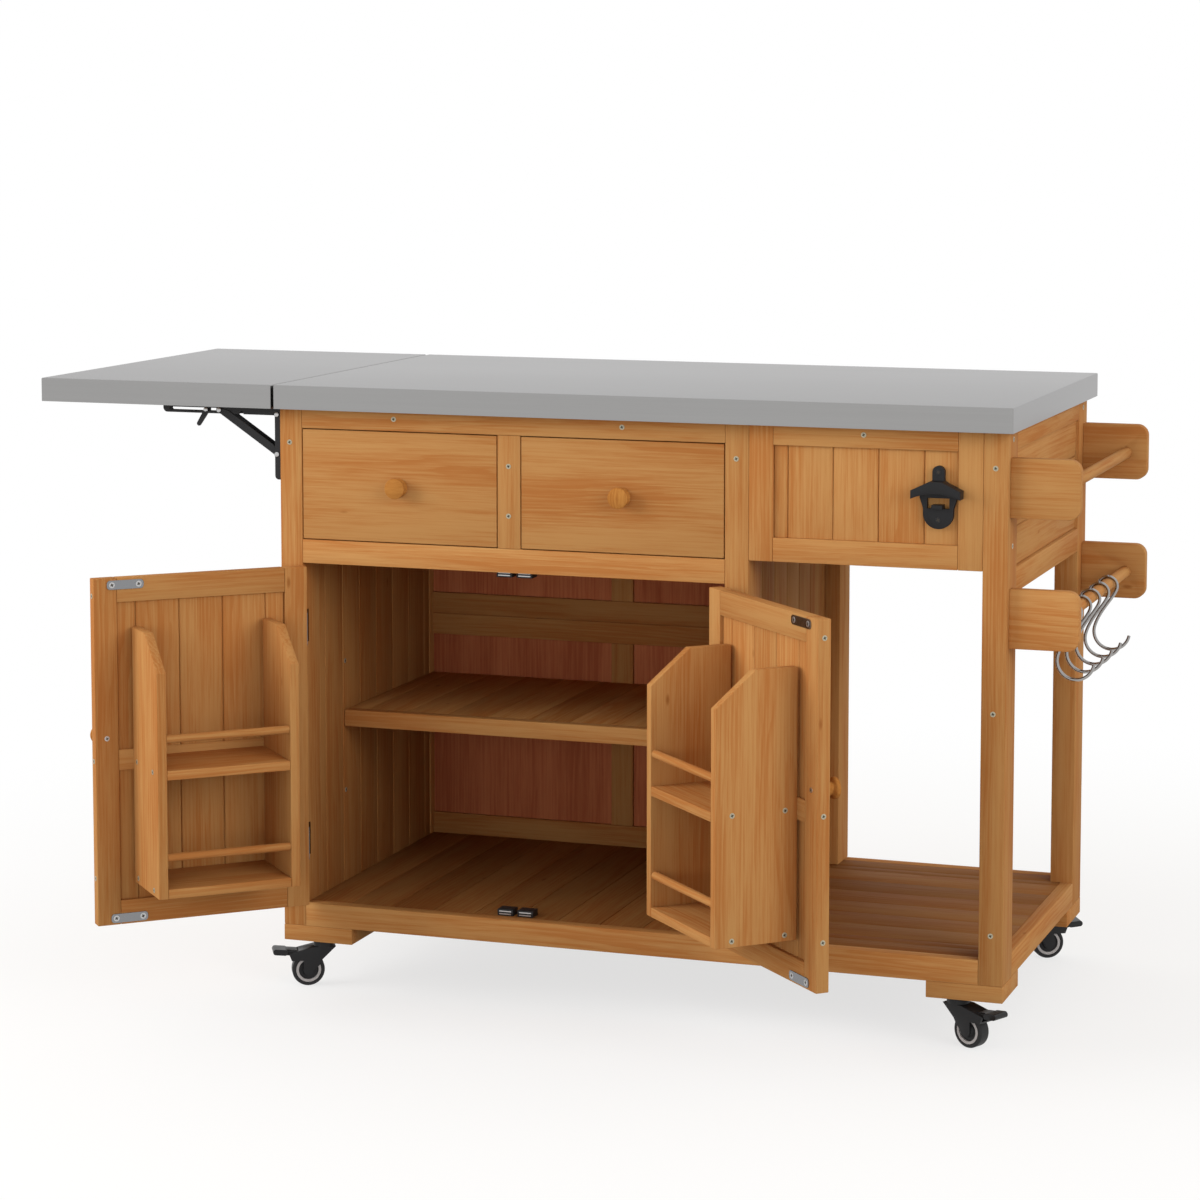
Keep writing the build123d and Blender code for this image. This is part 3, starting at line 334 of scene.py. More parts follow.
sample = welded_copy("posts")
triangles = len(nodes["posts"].data.polygons)
print(f"{triangles} triangles become {len(sample.faces)} faces of {len(islands(sample))} posts")

# %% [markdown]
# A board on the model is a sharp block. A joiner eases every edge, and that thin bright line is what makes
# a board read as wood, so the edges are bevelled. Each board then gets its grain: its own coordinates, with
# the first along its longest side, shifted by a random pith, and a tone of its own.

# %% Eased edges and grain
corner_turn = radians(30)
log_length = 9
pith_aside = 0.16
pith_depths = (0.05, 0.14)
cabinet_axes = (Vector((1, 0, 0)), Vector((0, 1, 0)), Vector((0, 0, 1)))


def ease_edges(bm, size, steps=2):
    """Bevel every edge that turns sharply."""
    bmesh.ops.bevel(
        bm,
        geom=[e for e in bm.edges if e.is_manifold and e.calc_face_angle(0.0) > corner_turn],
        offset=size,
        segments=steps,
        profile=0.5,
        affect="EDGES",
        material=-1,
        clamp_overlap=True,
    )


def board_spans(lump, axes, lengthwise=None):
    """A board's size, middle and axis along, across and through it."""
    spans = []
    for axis in axes:
        reach = [v.co.dot(axis) for v in lump]
        spans.append((max(reach) - min(reach), (max(reach) + min(reach)) / 2, axis))
    return sorted(spans, key=lambda span: (span[2] != lengthwise, -span[0]))


def mark_grain(bm, axes, seed, tones, lengthwise):
    """Give each board its own coordinates along, across and through, and its own tone."""
    draw = random.Random(seed)
    grain = bm.verts.layers.float_vector.new("grain")
    tone = bm.verts.layers.float.new("tone")
    for lump in islands(bm):
        spans = board_spans(lump, axes, lengthwise)
        start = draw.uniform(0, log_length)
        aside = draw.uniform(-pith_aside, pith_aside)
        pith = Vector((start, aside, draw.choice((-1, 1)) * draw.uniform(*pith_depths)))
        board_tone = draw.uniform(*tones)
        for v in lump:
            v[grain] = Vector([v.co.dot(axis) - middle for _, middle, axis in spans]) + pith
            v[tone] = board_tone


print("posts run", [round(board_spans(lump, cabinet_axes)[0][0], 3) for lump in islands(sample)], "m")
sample.free()

# %% [markdown]
# A finished mesh becomes a piece. It is smooth over soft turns and sharp over hard ones, it rides on a body
# so that it moves with it, it takes its finishes, and the nodes of the model that it replaces are hidden.

# %% Pieces
sharp_turn = radians(25)


def kept_mesh(bm, name):
    """A named mesh from a bmesh, which is then set free."""
    mesh = bpy.data.meshes.new(name)
    bm.to_mesh(mesh)
    bm.free()
    return mesh


def finish_mesh(bm, name, body, materials, replaced=()):
    """Turn a bmesh into a piece that rides on a body, and hide the nodes it replaces."""
    bm.normal_update()
    for face in bm.faces:
        face.smooth = True
    for edge in bm.edges:
        edge.smooth = edge.is_manifold and edge.calc_face_angle(0.0) < sharp_turn
    mesh = kept_mesh(bm, name)
    for material in materials:
        mesh.materials.append(material)
    piece = bpy.data.objects.new(name, mesh)
    scene.collection.objects.link(piece)
    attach(piece, body)
    if replaced:
        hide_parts(*replaced)
    return piece


print("bodies to ride on:", ", ".join(bodies))

# %% [markdown]
# Boarding is tongued and grooved, so a tongue in every joint keeps daylight from showing through. A
# plain block inside each board, a little wider than the board, is enough for that. It gets no tone of its
# own and so shows the darkest one: painted shade in the joint. The towel bars are
# dowels, and the photograph shows them a little thicker than the model's. So they are scaled round their
# own middle, and lowered until their tops are back in place.

# %% Tongues and dowels
tongue_reach = 0.0007
tongue_share = 0.3
bar_radius = 0.0089


def add_tongues(bm, axes):
    """Close the joints of boarding with a thin tongue inside each board; it gets no tone and shows darkest, as
    painted shade.
    """
    for lump in islands(bm):
        spans = board_spans(lump, axes)
        turn = Matrix([axis for _, _, axis in spans]).transposed()
        middle = turn @ Vector([middle for _, middle, _ in spans])
        length, width, thickness = (size for size, _, _ in spans)
        tongue = (length - 2 * tongue_reach, width + 2 * tongue_reach, thickness * tongue_share)
        place = Matrix.Translation(middle) @ turn.to_4x4() @ Matrix.Diagonal((*tongue, 1))
        made = bmesh.ops.create_cube(bm, size=1.0, matrix=place)
        bmesh.ops.recalc_face_normals(bm, faces=list({f for v in made["verts"] for f in v.link_faces}))


def thicken_bars(bm):
    """Bring the dowels to their thickness; their tops, which carry the hooks, stay."""
    for bar in islands(bm):
        low, high = lump_box(bar)
        radius = (high.z - low.z) / 2
        swell = bar_radius / radius
        bmesh.ops.scale(bm, vec=(swell, 1, swell), space=Matrix.Translation(-(low + high) / 2), verts=bar)
        bmesh.ops.translate(bm, vec=(0, 0, radius - bar_radius), verts=bar)


print(f"dowels {2000 * bar_radius:.1f} mm thick, tongues {1000 * tongue_reach:.1f} mm proud of a board")

# %% [markdown]
# Now each timber node is copied, eased, given its grain and finished. Corner blocks and arms are eased more
# than boards, and knobs a little less. Boards inside the cabinet look darker in the photograph, where shade
# falls under the top and between the walls, so they get lower tones of the same finish instead of a second
# one: painted shade. The back's plywood runs upright, whatever its longest side.

# %% Boards
board_ease = 0.0011
block_ease = 0.0016
knob_ease = 0.0009
ply_ease = 0.0003
plain_tones = (0.55, 0.95)
# Lower tones for the boards inside the cabinet: painted shade.
painted_shade_tones = {"wall_planks": (0.25, 0.45), "back_frame": (0.30, 0.50), "floor_planks": (0.05, 0.20)}
blocks = ("rack_arms", "feet", "posts")
cabinet_timber = (
    "posts", "frame_rails", "shelf", "drawer_runners", "apron_frames", "apron_planks", "rack_arms",
    "rack_bars", "feet", "left_drawer_front", "left_drawer_box", "right_drawer_front", "right_drawer_box",
)


def timber(
    node, material, axes=cabinet_axes, ease=board_ease, tones=plain_tones, lengthwise=None
):
    """Dress one timber node; the grain runs lengthwise, or along each board's longest side."""
    bm = welded_copy(node)
    if node == "rack_bars":
        thicken_bars(bm)
    ease_edges(bm, ease)
    mark_grain(bm, axes, node, tones, lengthwise)
    # The tongues come after the grain and keep tone 0, the darkest: painted shade in the joints.
    if node.endswith("_planks"):
        add_tongues(bm, axes)
    return finish_mesh(bm, f"{node}_boards", body_of_node[node], [material], [node])


for node in cabinet_timber:
    timber(node, fir_finish, ease=block_ease if node in blocks else board_ease)
for node, tones in painted_shade_tones.items():
    timber(node, fir_finish, tones=tones)
timber("back_panels", ply_finish, ease=ply_ease, lengthwise=cabinet_axes[2])
for side in ("left", "right"):
    timber(f"{side}_drawer_knob", knob_finish, ease=knob_ease)
print(len(cabinet_timber), "plain and", len(painted_shade_tones), "shaded nodes, the plywood and two knobs dressed")

# %% [markdown]
# The doors stand open, so their boards are turned, and grain that followed the cabinet would run askew.
# Each door has three directions of its own: along it from the hinge pin, inward on the side of its rack,
# and up. The pin comes from the model's joint, and the bearings are those at which the doors stand.

# %% Doors
joint = {j["name"]: j for j in frame["joints"]}
door_bearing = {"left": -137.0, "right": -46.0}
door_axes = {}
door_pin = {}
for side, bearing in door_bearing.items():
    along = Vector((cos(radians(bearing)), sin(radians(bearing)), 0))
    inward = Vector((-along.y, along.x, 0)) * (1 if side == "left" else -1)
    door_axes[side] = (along, inward, Vector((0, 0, 1)))
    door_pin[side] = Vector((*joint[f"{side}_door_swing"]["pos_m"][:2], 0))
    for part in ("frame", "planks", "rack"):
        timber(f"{side}_door_{part}", fir_finish, door_axes[side])
    timber(f"{side}_door_knob", knob_finish, door_axes[side], ease=knob_ease)
    print(side, "door stands along", tuple(round(c, 3) for c in along))

# %% [markdown]
# The worktop and the leaf are folded stainless sheet with a fine satin grain. Long scratches along X, far
# too fine to see one by one, spread the reflections sideways. The shader's own anisotropy could do that
# too, but a baked model doesn't keep it. So the scratches go into the colour, the roughness and a faint
# relief.

# %% Satin steel
steel_shading = 0.12
steel_rough = 0.27
brushed_rough = 0.08
drawn_rough = 0.06
handled_rough = 0.05
core_ease = 0.0004


def satin_steel(name, colour):
    """Brushed sheet: fine scratches, longer drawn marks, and patches where it was handled."""
    steel = Finish(name, Metallic=1.0, Specular_Tint=(0.95, 0.95, 0.96))
    coords = steel.place()
    brushed = steel.drawn_noise(coords, along=6.0, across=1400.0, detail=4.0, roughness=0.6)
    drawn = steel.drawn_noise(coords, along=1.5, across=160.0, detail=5.0, roughness=0.7)
    handled = steel.noise(coords, scale=3.0)
    roughness = steel_rough + brushed * brushed_rough + drawn * drawn_rough + handled * handled_rough
    darker = tuple(c * (1 - steel_shading) for c in colour)
    lighter = tuple(c * (1 + steel_shading) for c in colour)
    steel.set(
        Base_Color=steel.blend(brushed * 0.3 + drawn * 0.4 + handled * 0.3, darker, lighter),
        Roughness=roughness,
        Normal=steel.bump(brushed, strength=0.05, distance=0.0002),
    )
    return steel.material


steel_finish = satin_steel("satin_steel", (0.35, 0.346, 0.342))
for node in ("worktop_skin", "leaf_skin"):
    finish_mesh(welded_copy(node), f"{node}_sheet", body_of_node[node], [steel_finish], [node])
for node in ("worktop_core", "leaf_core"):
    timber(node, core_finish, ease=core_ease)
print("two steel sheets on two boards")

# %% [markdown]
# The hardware is small and mostly dark: powder-coated brackets, a cast opener, nylon casters, chrome hooks
# and zinc plates. A flat colour would look like a toy, so each finish has its own speckle, wear or
# cloudiness. One recipe serves them all, and only its amounts differ.

# %% Hardware finishes
patch_cells = 40.0
patch_rough = 0.16
peel_rough = 0.08
peel_height = 0.0003
speckle_floor = 0.004
black_gloss = 0.22


def coated(name, colour, rough, grain, bump, metallic=0.0, speckle=0.35, gloss=0.5):
    """A coat over metal or a moulded plastic: fine orange peel, and a slight change of shade."""
    coat = Finish(name, Metallic=metallic, Specular_IOR_Level=gloss)
    coords = coat.place()
    peel = coat.noise(coords, grain, roughness=0.6)
    patch = coat.noise(coords, patch_cells)
    lighter = tuple(min(1.0, c * (1 + speckle) + speckle_floor) for c in colour)
    coat.set(
        Base_Color=coat.blend(peel * 0.6 + patch * 0.4, colour, lighter),
        Roughness=rough + (patch - 0.5) * patch_rough + (peel - 0.5) * peel_rough,
        Normal=coat.bump(peel, strength=bump, distance=peel_height),
    )
    return coat.material


def black(name, colour, rough, grain, bump):
    """A dark coat with little gloss."""
    return coated(name, colour, rough, grain, bump, gloss=black_gloss)


black_coat = black("powder_coat", (0.016, 0.016, 0.017), rough=0.42, grain=1500.0, bump=0.22)
cast_coat = black("cast_enamel", (0.010, 0.010, 0.011), rough=0.42, grain=900.0, bump=0.35)
nylon = black("black_nylon", (0.013, 0.013, 0.014), rough=0.36, grain=700.0, bump=0.10)
tread = black("black_tread", (0.016, 0.016, 0.017), rough=0.48, grain=1100.0, bump=0.18)
ring_grey = coated("pale_ring", (0.42, 0.40, 0.40), rough=0.42, grain=900.0, bump=0.06, speckle=0.12)
# The recess bars of a screw head are painted shade: a dark brown for the shade down in the cross recess.
painted_slot_shade = coated("painted_slot_shade", (0.035, 0.028, 0.020), rough=0.6, grain=600.0, bump=0.08)
zinc = coated(
    "zinc_plate", (0.24, 0.245, 0.255), rough=0.24, grain=260.0, bump=0.02, metallic=1.0, speckle=0.10
)
screw_zinc = coated(
    "screw_zinc", (0.40, 0.37, 0.27), rough=0.42, grain=600.0, bump=0.08, metallic=0.55, speckle=0.2
)
rivet_steel = coated(
    "rivet_steel", (0.50, 0.50, 0.50), rough=0.32, grain=420.0, bump=0.05, metallic=0.95, speckle=0.15
)
chrome = coated(
    "bright_chrome", (0.33, 0.32, 0.31), rough=0.10, grain=140.0, bump=0.01, metallic=1.0, speckle=0.08
)
print(len(bpy.data.materials), "materials so far")

# %% [markdown]
# Bent sheet, castings and wire keep the model's shapes. What a press or a mould leaves on the real ones is
# a softly broken edge, so each copy is welded and bevelled by less than a millimetre before it gets its
# finish. The hinge leaves and the caster stems hardly show and stay sharp.

# %% Brackets, opener, catches and hooks
sheet_ease = 0.0003
lever_ease = 0.0005
cast_ease = 0.0009
catch_ease = 0.0008
wire_ease = 0.0008
hook_count = 5


def hardware(node, material, ease=0.0, steps=2):
    """Dress one piece of hardware: welded, with softly broken edges."""
    bm = welded_copy(node)
    if ease:
        ease_edges(bm, ease, steps)
    return finish_mesh(bm, f"{node}_shape", body_of_node[node], [material], [node])


for node in ("bracket_wall_rails", "leaf_rails", "front_bracket_strut", "rear_bracket_strut"):
    hardware(node, black_coat, sheet_ease, steps=1)
for place in ("front", "rear"):
    hardware(f"{place}_release_lever", black_coat, lever_ease)
hardware("bottle_opener", cast_coat, cast_ease)
hardware("hinge_leaves", zinc)
hardware("caster_stems", zinc)
hardware("magnetic_catches", black_coat, catch_ease)
for number in range(1, hook_count + 1):
    hardware(f"s_hook_{number}", chrome, wire_ease)
print("brackets, opener, catches and", hook_count, "hooks dressed")

# %% [markdown]
# A caster is a nylon fork over a rubber wheel with a pale ring let into each side. A mask in the finish
# could draw the rings, but they are lumps of their own in the wheel, so they simply get a second finish.
# Along the axle a ring is far narrower than the tread or the hub, and it is told apart by that.

# %% Casters
ring_width = 0.008
fork_ease = 0.0009
pedal_ease = 0.0011
ring_count = 0
for place in ("front_left", "front_right", "rear_left", "rear_right"):
    hardware(f"{place}_caster_fork", nylon, fork_ease)
    hardware(f"{place}_brake_pedal", nylon, pedal_ease)
    axle = Vector(joint[f"{place}_wheel_spin"]["axis"])
    wheel = f"{place}_caster_wheel"
    bm = welded_copy(wheel)
    for lump in islands(bm):
        is_ring = board_spans(lump, (axle,))[0][0] < ring_width
        ring_count += is_ring
        for face in {f for v in lump for f in v.link_faces}:
            face.material_index = 1 if is_ring else 0
    finish_mesh(bm, f"{wheel}_shape", f"{place}_wheel", [tread, ring_grey], [wheel])
print("four casters dressed, with", ring_count, "pale rings")

# %% [markdown]
# A strike plate is a small pressed plate with round ends, which a catch's magnet pulls on. The photograph
# shows it slimmer than the model's block. So a new one is made from a cube with its four corners bevelled
# round, and set in line with the block's outer edge. Its screws are sunk, so that a shut door clears the
# catch. The hinge leaves stay as they are.

# %% Strike plates
plate_long = 0.056
plate_high = 0.0137
plate_thick = 0.0015
plate_corner = 0.0052
plate_corner_steps = 6
plate_screw_reach = 0.0203
plate_screw_sink = 0.00045
strike_least = 0.050
plate_screws = {}


def round_plate(bm, middle, along, up, out):
    """Add a plate with rounded corners that stands on a face."""
    turn = Matrix((along, up, out)).transposed().to_4x4()
    size = Matrix.Diagonal((plate_long, plate_high, plate_thick, 1))
    place = Matrix.Translation(middle + out * plate_thick / 2) @ turn @ size
    made = bmesh.ops.create_cube(bm, size=1.0, matrix=place)["verts"]
    edges = {e for v in made for e in v.link_edges}
    bmesh.ops.bevel(
        bm,
        geom=[e for e in edges if abs((e.verts[0].co - e.verts[1].co).dot(out)) > plate_thick / 2],
        offset=plate_corner,
        segments=plate_corner_steps,
        profile=0.5,
        affect="EDGES",
        material=-1,
    )


for side in ("left", "right"):
    along, inward, up = door_axes[side]
    node = f"{side}_door_fittings"
    bm = welded_copy(node)
    middle_level = sum(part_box(node), Vector()).z / 2
    strikes = [lump for lump in islands(bm) if board_spans(lump, (along,))[0][0] > strike_least]
    plate_screws[side] = []
    for strike in strikes:
        levels = [v.co.z for v in strike]
        face = min(v.co.dot(inward) for v in strike)
        if min(levels) > middle_level:
            level = max(levels) - plate_high / 2
        else:
            level = min(levels) + plate_high / 2
        middle = along * board_spans(strike, (along,))[0][1] + inward * face + up * level
        bmesh.ops.delete(bm, geom=strike, context="VERTS")
        round_plate(bm, middle, along, up, inward)
        for way in (-1, 1):
            spot = middle + along * way * plate_screw_reach + inward * (plate_thick - plate_screw_sink)
            plate_screws[side].append((spot, inward))
    bmesh.ops.recalc_face_normals(bm, faces=bm.faces)
    ease_edges(bm, sheet_ease, steps=1)
    finish_mesh(bm, f"{node}_shape", body_of_node[node], [zinc], [node])
    print(side, "door:", len(strikes), "strike plates")

# %% [markdown]
# Screw heads show all over the frame. A real head is turned and its cross recess is punched. Here one head
# is spun from a few points, as shares of its radius and rise. Cutting the recess out would cost many faces
# on every screw, so two bars are laid in the head instead, in a dark finish that is painted shade for the
# shade down in the recess; from a step away they look the same. It is a pattern, ready to be stamped.

# %% Screw pattern
screw_radius = 0.0040
screw_rise = 0.0007
screw_profile = ((0, 0.55), (0.36, 0.6), (0.80, 1.0), (0.96, 0.75), (1.0, -0.3))
recess_turn = 0.4
recess_size = Vector((screw_radius * 1.10, screw_radius * 0.34, screw_rise * 0.9))
recess_level = screw_rise * 0.35
spin_steps = 20


def spun_pattern(profile):
    """Spin an outline of radius and height pairs, closed by a flat underside, into a pattern."""
    bm = bmesh.new()
    points = [bm.verts.new((radius, 0, height)) for radius, height in (*profile, (0, profile[-1][1]))]
    outline = [bm.edges.new(pair) for pair in zip(points, points[1:])]
    bmesh.ops.spin(
        bm, geom=points + outline, axis=(0, 0, 1), angle=2 * pi, steps=spin_steps, use_merge=True
    )
    bmesh.ops.remove_doubles(bm, verts=bm.verts, dist=weld_reach / 2)
    bmesh.ops.recalc_face_normals(bm, faces=bm.faces)
    return bm


screw_bm = spun_pattern([(share * screw_radius, lift * screw_rise) for share, lift in screw_profile])
# Two bars across the head take the second finish, painted shade of the cross recess.
for turn in (recess_turn, recess_turn + pi / 2):
    arm = Matrix.Translation((0, 0, recess_level)) @ Matrix.Rotation(turn, 4, "Z")
    made = bmesh.ops.create_cube(screw_bm, size=1.0, matrix=arm @ Matrix.Diagonal((*recess_size, 1)))
    for face in {f for v in made["verts"] for f in v.link_faces}:
        face.material_index = 1
screw_pattern = kept_mesh(screw_bm, "screw_pattern")
print(len(screw_pattern.polygons), "faces in a screw head")

# %% [markdown]
# The pattern is stamped wherever a screw sits, on the face that it holds down. The front ones are where the
# photograph shows them, and the other faces follow the same spacing. All the screws of one body are one
# piece.

# %% Screws on the cabinet
front_spots = (
    (-0.549, 0.839), (-0.549, 0.489), (-0.549, 0.169), (-0.379, 0.879), (-0.196, 0.815), (-0.196, 0.741),
    (-0.019, 0.879), (0.155, 0.839), (0.344, 0.880), (0.5355, 0.839), (0.5355, 0.489), (0.5355, 0.169),
)
rear_columns = (-0.547, 0.156, 0.536)
rear_levels = (0.114, 0.489, 0.873)
end_columns = (-0.256, 0.252)
right_levels = (0.726, 0.878)
left_levels = (0.114, 0.674)
wall_thick = 0.012
wall_column = -0.128
wall_levels = (0.4805, 0.276)
opener_plate = 0.003
opener_top_inset = 0.009
opener_foot_inset = 0.013


def stamp(bm, pattern, spot, normal, scale=1.0):
    """Add a scaled copy of a pattern mesh, its own Z turned to a face's normal."""
    start = len(bm.verts)
    bm.from_mesh(pattern)
    bm.verts.ensure_lookup_table()
    upright = Vector(normal).to_track_quat("Z", "Y").to_matrix().to_4x4()
    place = Matrix.Translation(spot) @ upright @ Matrix.Scale(scale, 4)
    bmesh.ops.transform(bm, matrix=place, verts=bm.verts[start:])


def screws(name, body, spots, head=screw_zinc, scale=1.0):
    """One piece with a screw head on each spot."""
    bm = bmesh.new()
    for spot, normal in spots:
        stamp(bm, screw_pattern, spot, normal, scale)
    return finish_mesh(bm, name, body, [head, painted_slot_shade])


low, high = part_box("posts")
wall_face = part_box("wall_planks")[0].x + wall_thick
cabinet_screws = [((x, low.y, z), (0, -1, 0)) for x, z in front_spots]
cabinet_screws += [((x, high.y, z), (0, 1, 0)) for x in rear_columns for z in rear_levels]
cabinet_screws += [((wall_face, wall_column, z), (1, 0, 0)) for z in wall_levels]
cabinet_screws += [((high.x, y, z), (1, 0, 0)) for y in end_columns for z in right_levels]
cabinet_screws += [((low.x, y, z), (-1, 0, 0)) for y in end_columns for z in left_levels]
screws("cabinet_screws", "cabinet", cabinet_screws)

opener_low, opener_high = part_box("bottle_opener")
opener_x = (opener_low.x + opener_high.x) / 2
opener_levels = (opener_high.z - opener_top_inset, opener_low.z + opener_foot_inset)
opener_spots = [((opener_x, low.y - opener_plate, z), (0, -1, 0)) for z in opener_levels]
screws("opener_screws", "cabinet", opener_spots, black_coat)
print(len(cabinet_screws), "screws on the cabinet and", len(opener_spots), "in the opener")

# %% [markdown]
# A door is held by screws through the edge of its stile and the sides of its rack, a knob by one from the
# inside, and a strike plate by two. They are placed by the door's own axes, so they stay on it wherever it
# stands.

# %% Screws on the doors
stile_levels = (0.6275, 0.381, 0.205)
stile_middle = 0.010
rack_levels = (0.381, 0.206)
rack_depths = (0.019, 0.101)
pan_scale = 1.15


def extent(node, axis, origin):
    """How far a node reaches both ways from a point."""
    reach = [v.co.dot(axis) - origin.dot(axis) for v in nodes[node].data.vertices]
    return min(reach), max(reach)


def door_point(side, ahead, deep, level):
    """A point on a door, measured from the foot of its hinge pin."""
    along, inward, up = door_axes[side]
    return door_pin[side] + along * ahead + inward * deep + up * level


for side in ("left", "right"):
    along, inward, _ = door_axes[side]
    pin = door_pin[side]
    stile_edge = extent(f"{side}_door_frame", along, pin)[1]
    face = extent(f"{side}_door_frame", inward, pin)[1]
    rack_near, rack_far = extent(f"{side}_door_rack", along, pin)
    spots = [(door_point(side, stile_edge, face - stile_middle, z), along) for z in stile_levels]
    for end, way in ((rack_far, 1), (rack_near, -1)):
        for deep in rack_depths:
            spots += [(door_point(side, end, face + deep, z), along * way) for z in rack_levels]
    screws(f"{side}_door_screws", f"{side}_door", spots)
    knob = sum(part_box(f"{side}_door_knob"), Vector()) / 2
    knob_spot = knob + inward * (pin.dot(inward) + face - knob.dot(inward))
    screws(f"{side}_knob_screw", f"{side}_door", [(knob_spot, inward)], rivet_steel)
    screws(f"{side}_pan_screws", f"{side}_door", plate_screws[side], rivet_steel, scale=pan_scale)
    print(side, "door:", len(spots) + 1 + len(plate_screws[side]), "screws")

# %% [markdown]
# The bracket pins end in bright rivets: shallow domes, spun the same way and set on both ends of each pin,
# on its black heads. A pin lies along Y. The model's joints say where, and a strut's upper pin is found
# from the corner of the strut's own box.

# %% Rivets
rivet_radius = 0.0037
rivet_rise = 0.0012
post_pin_end = 0.0123
strut_pin_end = 0.0104
lever_pin_end = 0.0061
strut_pin_inset = 0.005
dome = [(sin(radians(t)) * rivet_radius, cos(radians(t)) * rivet_rise) for t in range(0, 91, 15)]
rivet_pattern = kept_mesh(spun_pattern(dome), "rivet_pattern")


def pin_ends(x, y, z, end):
    """Both ends of a pin along Y, each with the way it faces."""
    return [(Vector((x, y + way * end, z)), (0, way, 0)) for way in (-1, 1)]


def rivets(name, body, spots):
    """One piece with a rivet on each spot."""
    bm = bmesh.new()
    for spot, normal in spots:
        stamp(bm, rivet_pattern, spot, normal)
    return finish_mesh(bm, name, body, [rivet_steel])


leaf_level = joint["leaf_fold"]["pos_m"][2]
post_rivets = []
for place in ("front", "rear"):
    x, y, z = joint[f"{place}_strut_swing"]["pos_m"]
    post_rivets += pin_ends(x, y, z, post_pin_end) + pin_ends(x, y, leaf_level, post_pin_end)
    low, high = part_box(f"{place}_bracket_strut")
    tip = pin_ends(low.x + strut_pin_inset, y, high.z - strut_pin_inset, strut_pin_end)
    rivets(f"{place}_strut_rivets", f"{place}_strut", tip)
    rivets(f"{place}_lever_rivets", "leaf", pin_ends(*joint[f"{place}_lever_swing"]["pos_m"], lever_pin_end))
rivets("bracket_rivets", "cabinet", post_rivets)
print(len(post_rivets), "rivets on the posts")

# %% [markdown]
# A magnetic catch shows two thin steel pole plates at the front of its black case, where the strike plate
# lands. They are slim bars laid on the front of each case, just proud of it.

# %% Catch poles
pole_size = Vector((0.019, 0.0008, 0.0016))
pole_levels = (0.3, 0.7)
bm = bmesh.new()
cases = welded_copy("magnetic_catches")
for case in islands(cases):
    low, high = lump_box(case)
    for level in pole_levels:
        place = Matrix.Translation(((low.x + high.x) / 2, low.y, low.z + (high.z - low.z) * level))
        bmesh.ops.create_cube(bm, size=1.0, matrix=place @ Matrix.Diagonal((*pole_size, 1)))
cases.free()
print(len(islands(bm)), "pole plates")
finish_mesh(bm, "catch_poles", "cabinet", [rivet_steel])

# %% [markdown]
# The studio's floor is a white sheet, far larger than the cart. It keeps the cart's soft shadow and melts
# into white farther off, so it glows a little to the lens and more with distance. It throws back less light
# than it shows.

# %% Studio floor
floor_half = 40.0
floor_lighting = (0.35, 0.35, 0.35)
floor_shown = (0.90, 0.90, 0.90)
veil_near = 0.70
veil_reach = (0.7, 2.2)


def looked_at(web):
    """1 for rays from the lens, a mirror or a glass, 0 for rays that only gather light."""
    kinds = ("Is Camera Ray", "Is Glossy Ray", "Is Transmission Ray")
    rays = [web.node("ShaderNodeLightPath", {}, {}, output=kind) for kind in kinds]
    seen = rays[0]
    for ray in rays[1:]:
        seen = seen.math("MAXIMUM", seen, ray)
    return seen


floor_bm = bmesh.new()
bmesh.ops.create_grid(floor_bm, x_segments=1, y_segments=1, size=floor_half)
floor = bpy.data.objects.new("studio_floor", kept_mesh(floor_bm, "studio_floor"))
scene.collection.objects.link(floor)
sheet = Finish("studio_floor", Roughness=0.9, Specular_IOR_Level=0.0)
lens_ray = looked_at(sheet)
far = sheet.node("ShaderNodeVectorMath", {"operation": "LENGTH"}, {0: sheet.place()}, output="Value")
sheet.set(Base_Color=sheet.blend(lens_ray, floor_lighting, floor_shown))
veil = lens_ray * (veil_near + sheet.band(far, *veil_reach) * (1 - veil_near))
surface = Reading(sheet.tree, sheet.shader.outputs[0])
glow = sheet.node("ShaderNodeEmission", {}, {})
veiled = sheet.node("ShaderNodeMixShader", {}, {0: veil, 1: surface, 2: glow})
plug(sheet.tree, sheet.tree.nodes["Material Output"].inputs["Surface"], veiled)
floor.data.materials.append(sheet.material)
print("a floor of", 2 * floor_half, "m laid")

# %% [markdown]
# The surround is white to the lens and in mirrors, but it lights the cart less than it shows, more from the
# sides than from the front, and a little warm, as light is that has been among the boards. So the wood
# keeps its depth.

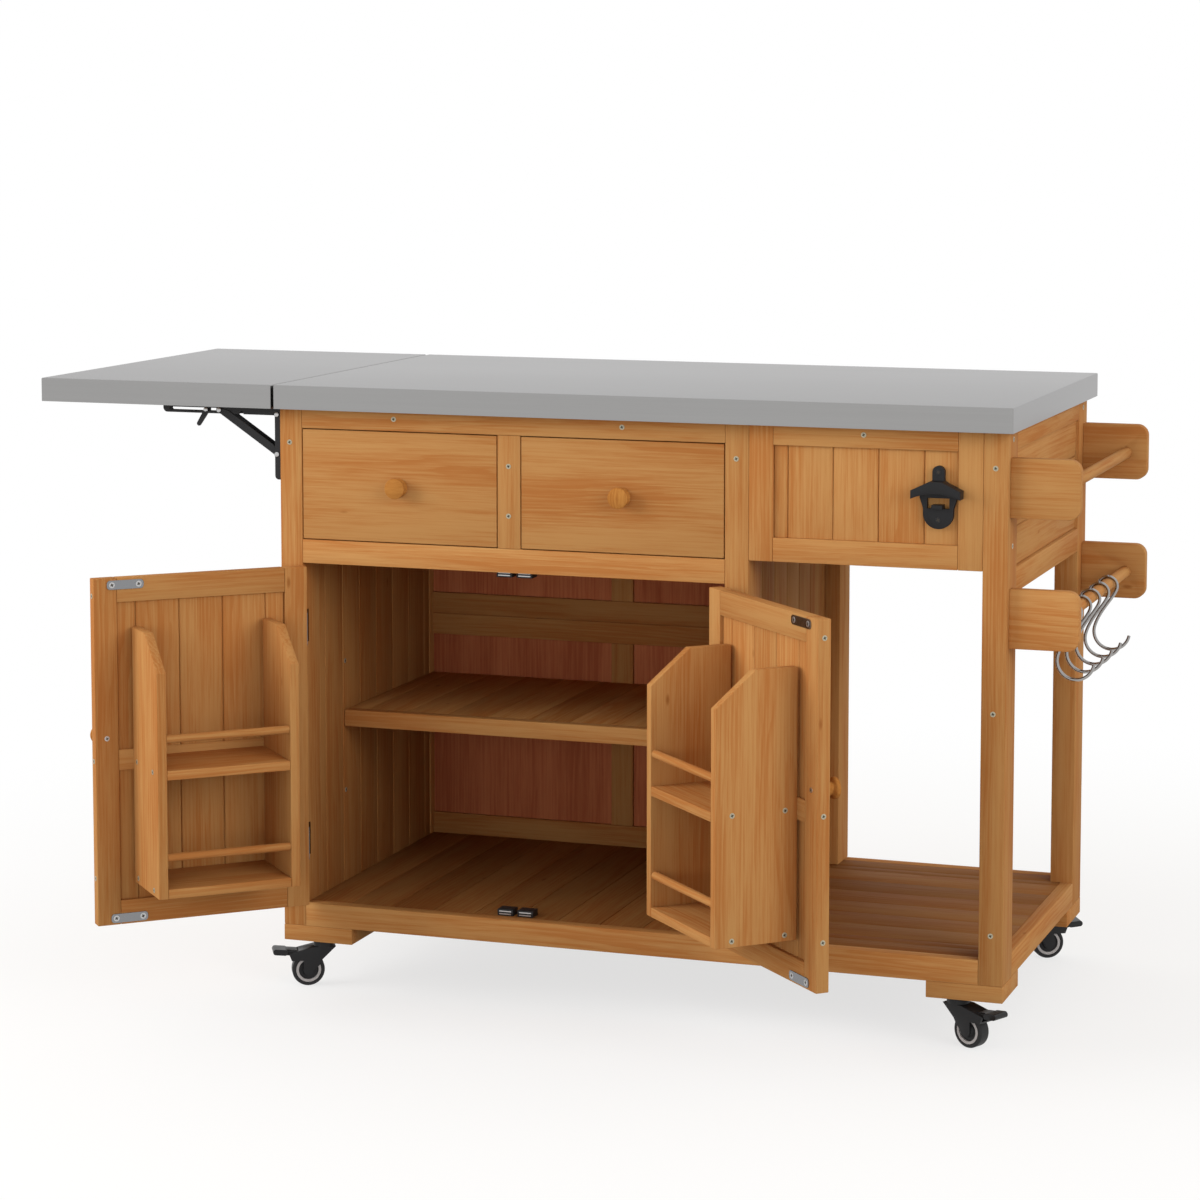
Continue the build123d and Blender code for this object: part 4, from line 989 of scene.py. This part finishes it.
# %% Surround
fill_level = 0.48
fill_sides = 0.80
fill_lean = 0.08
fill_behind = 0.40
fill_colour = (1.0, 0.955, 0.89)
shown_colour = (1.0, 1.0, 1.0)
world = bpy.data.worlds.new("studio")
scene.world = world
world.use_nodes = True
sky = Web(world.node_tree)
back = sky.tree.nodes["Background"]
seen = looked_at(sky)
towards = sky.place("Generated")
sideways = sky.axis(towards, "X")
behind = sky.axis(towards, "Y")
behind = behind.math("MAXIMUM", behind, 0.0)
fill = fill_level + sideways * sideways * fill_sides - sideways * fill_lean + behind * fill_behind
plug(sky.tree, back.inputs["Color"], sky.blend(seen, fill_colour, shown_colour))
plug(sky.tree, back.inputs["Strength"], seen + (1.0 - seen) * fill)
print(len(sky.tree.nodes), "nodes in the surround")

# %% [markdown]
# Three soft boxes shape the cart: a key from the left, a weaker one from the right for the end, and a low
# one in front for the inside of the cabinet. Mirrors don't see them, so the satin steel keeps its even
# grey.

# %% Lamps
lamp_aim = Vector((0, 0, 0.45))


def softbox(name, spot, size, power):
    """A soft rectangular lamp that faces the cart and leaves no glare on the steel."""
    lamp = bpy.data.lights.new(name, "AREA")
    lamp.shape = "RECTANGLE"
    lamp.size, lamp.size_y = size
    lamp.energy = power
    holder = bpy.data.objects.new(name, lamp)
    holder.location = spot
    holder.rotation_euler = (lamp_aim - Vector(spot)).to_track_quat("-Z", "Y").to_euler()
    holder.visible_glossy = False
    scene.collection.objects.link(holder)


softbox("key", spot=(-4.2, -2.5, 2.2), size=(3.0, 2.6), power=145)
softbox("second", spot=(4.0, -2.4, 2.2), size=(2.8, 2.4), power=74)
softbox("front", spot=(0.4, -5.0, 1.0), size=(3.0, 1.4), power=40)
print(len(bpy.data.lights), "lamps")

# %% [markdown]
# The photograph was taken from the right, a little above the top. Its upright lines stay nearly parallel,
# which a real camera does by sliding the lens down. A small slide is kept here, and the rest is a slight
# downward tilt.

# %% Camera
camera_spot = (1.5494, -4.8948, 1.3689)
camera_tilt = 5.6236
camera_turn = 19.1737
lens = bpy.data.cameras.new("camera")
lens.lens = 100.722
lens.sensor_width = 36.0
lens.shift_y = -0.15
lens.clip_end = 200.0
camera = bpy.data.objects.new("camera", lens)
camera.location = camera_spot
camera.rotation_euler = (radians(90 - camera_tilt), 0, radians(camera_turn))
scene.collection.objects.link(camera)
scene.camera = camera
scene.view_settings.view_transform = "Standard"
print("camera at", camera_spot, "with a lens of", round(lens.lens, 1), "mm")

# %% [markdown]
# Dressing must not change the cart's size.
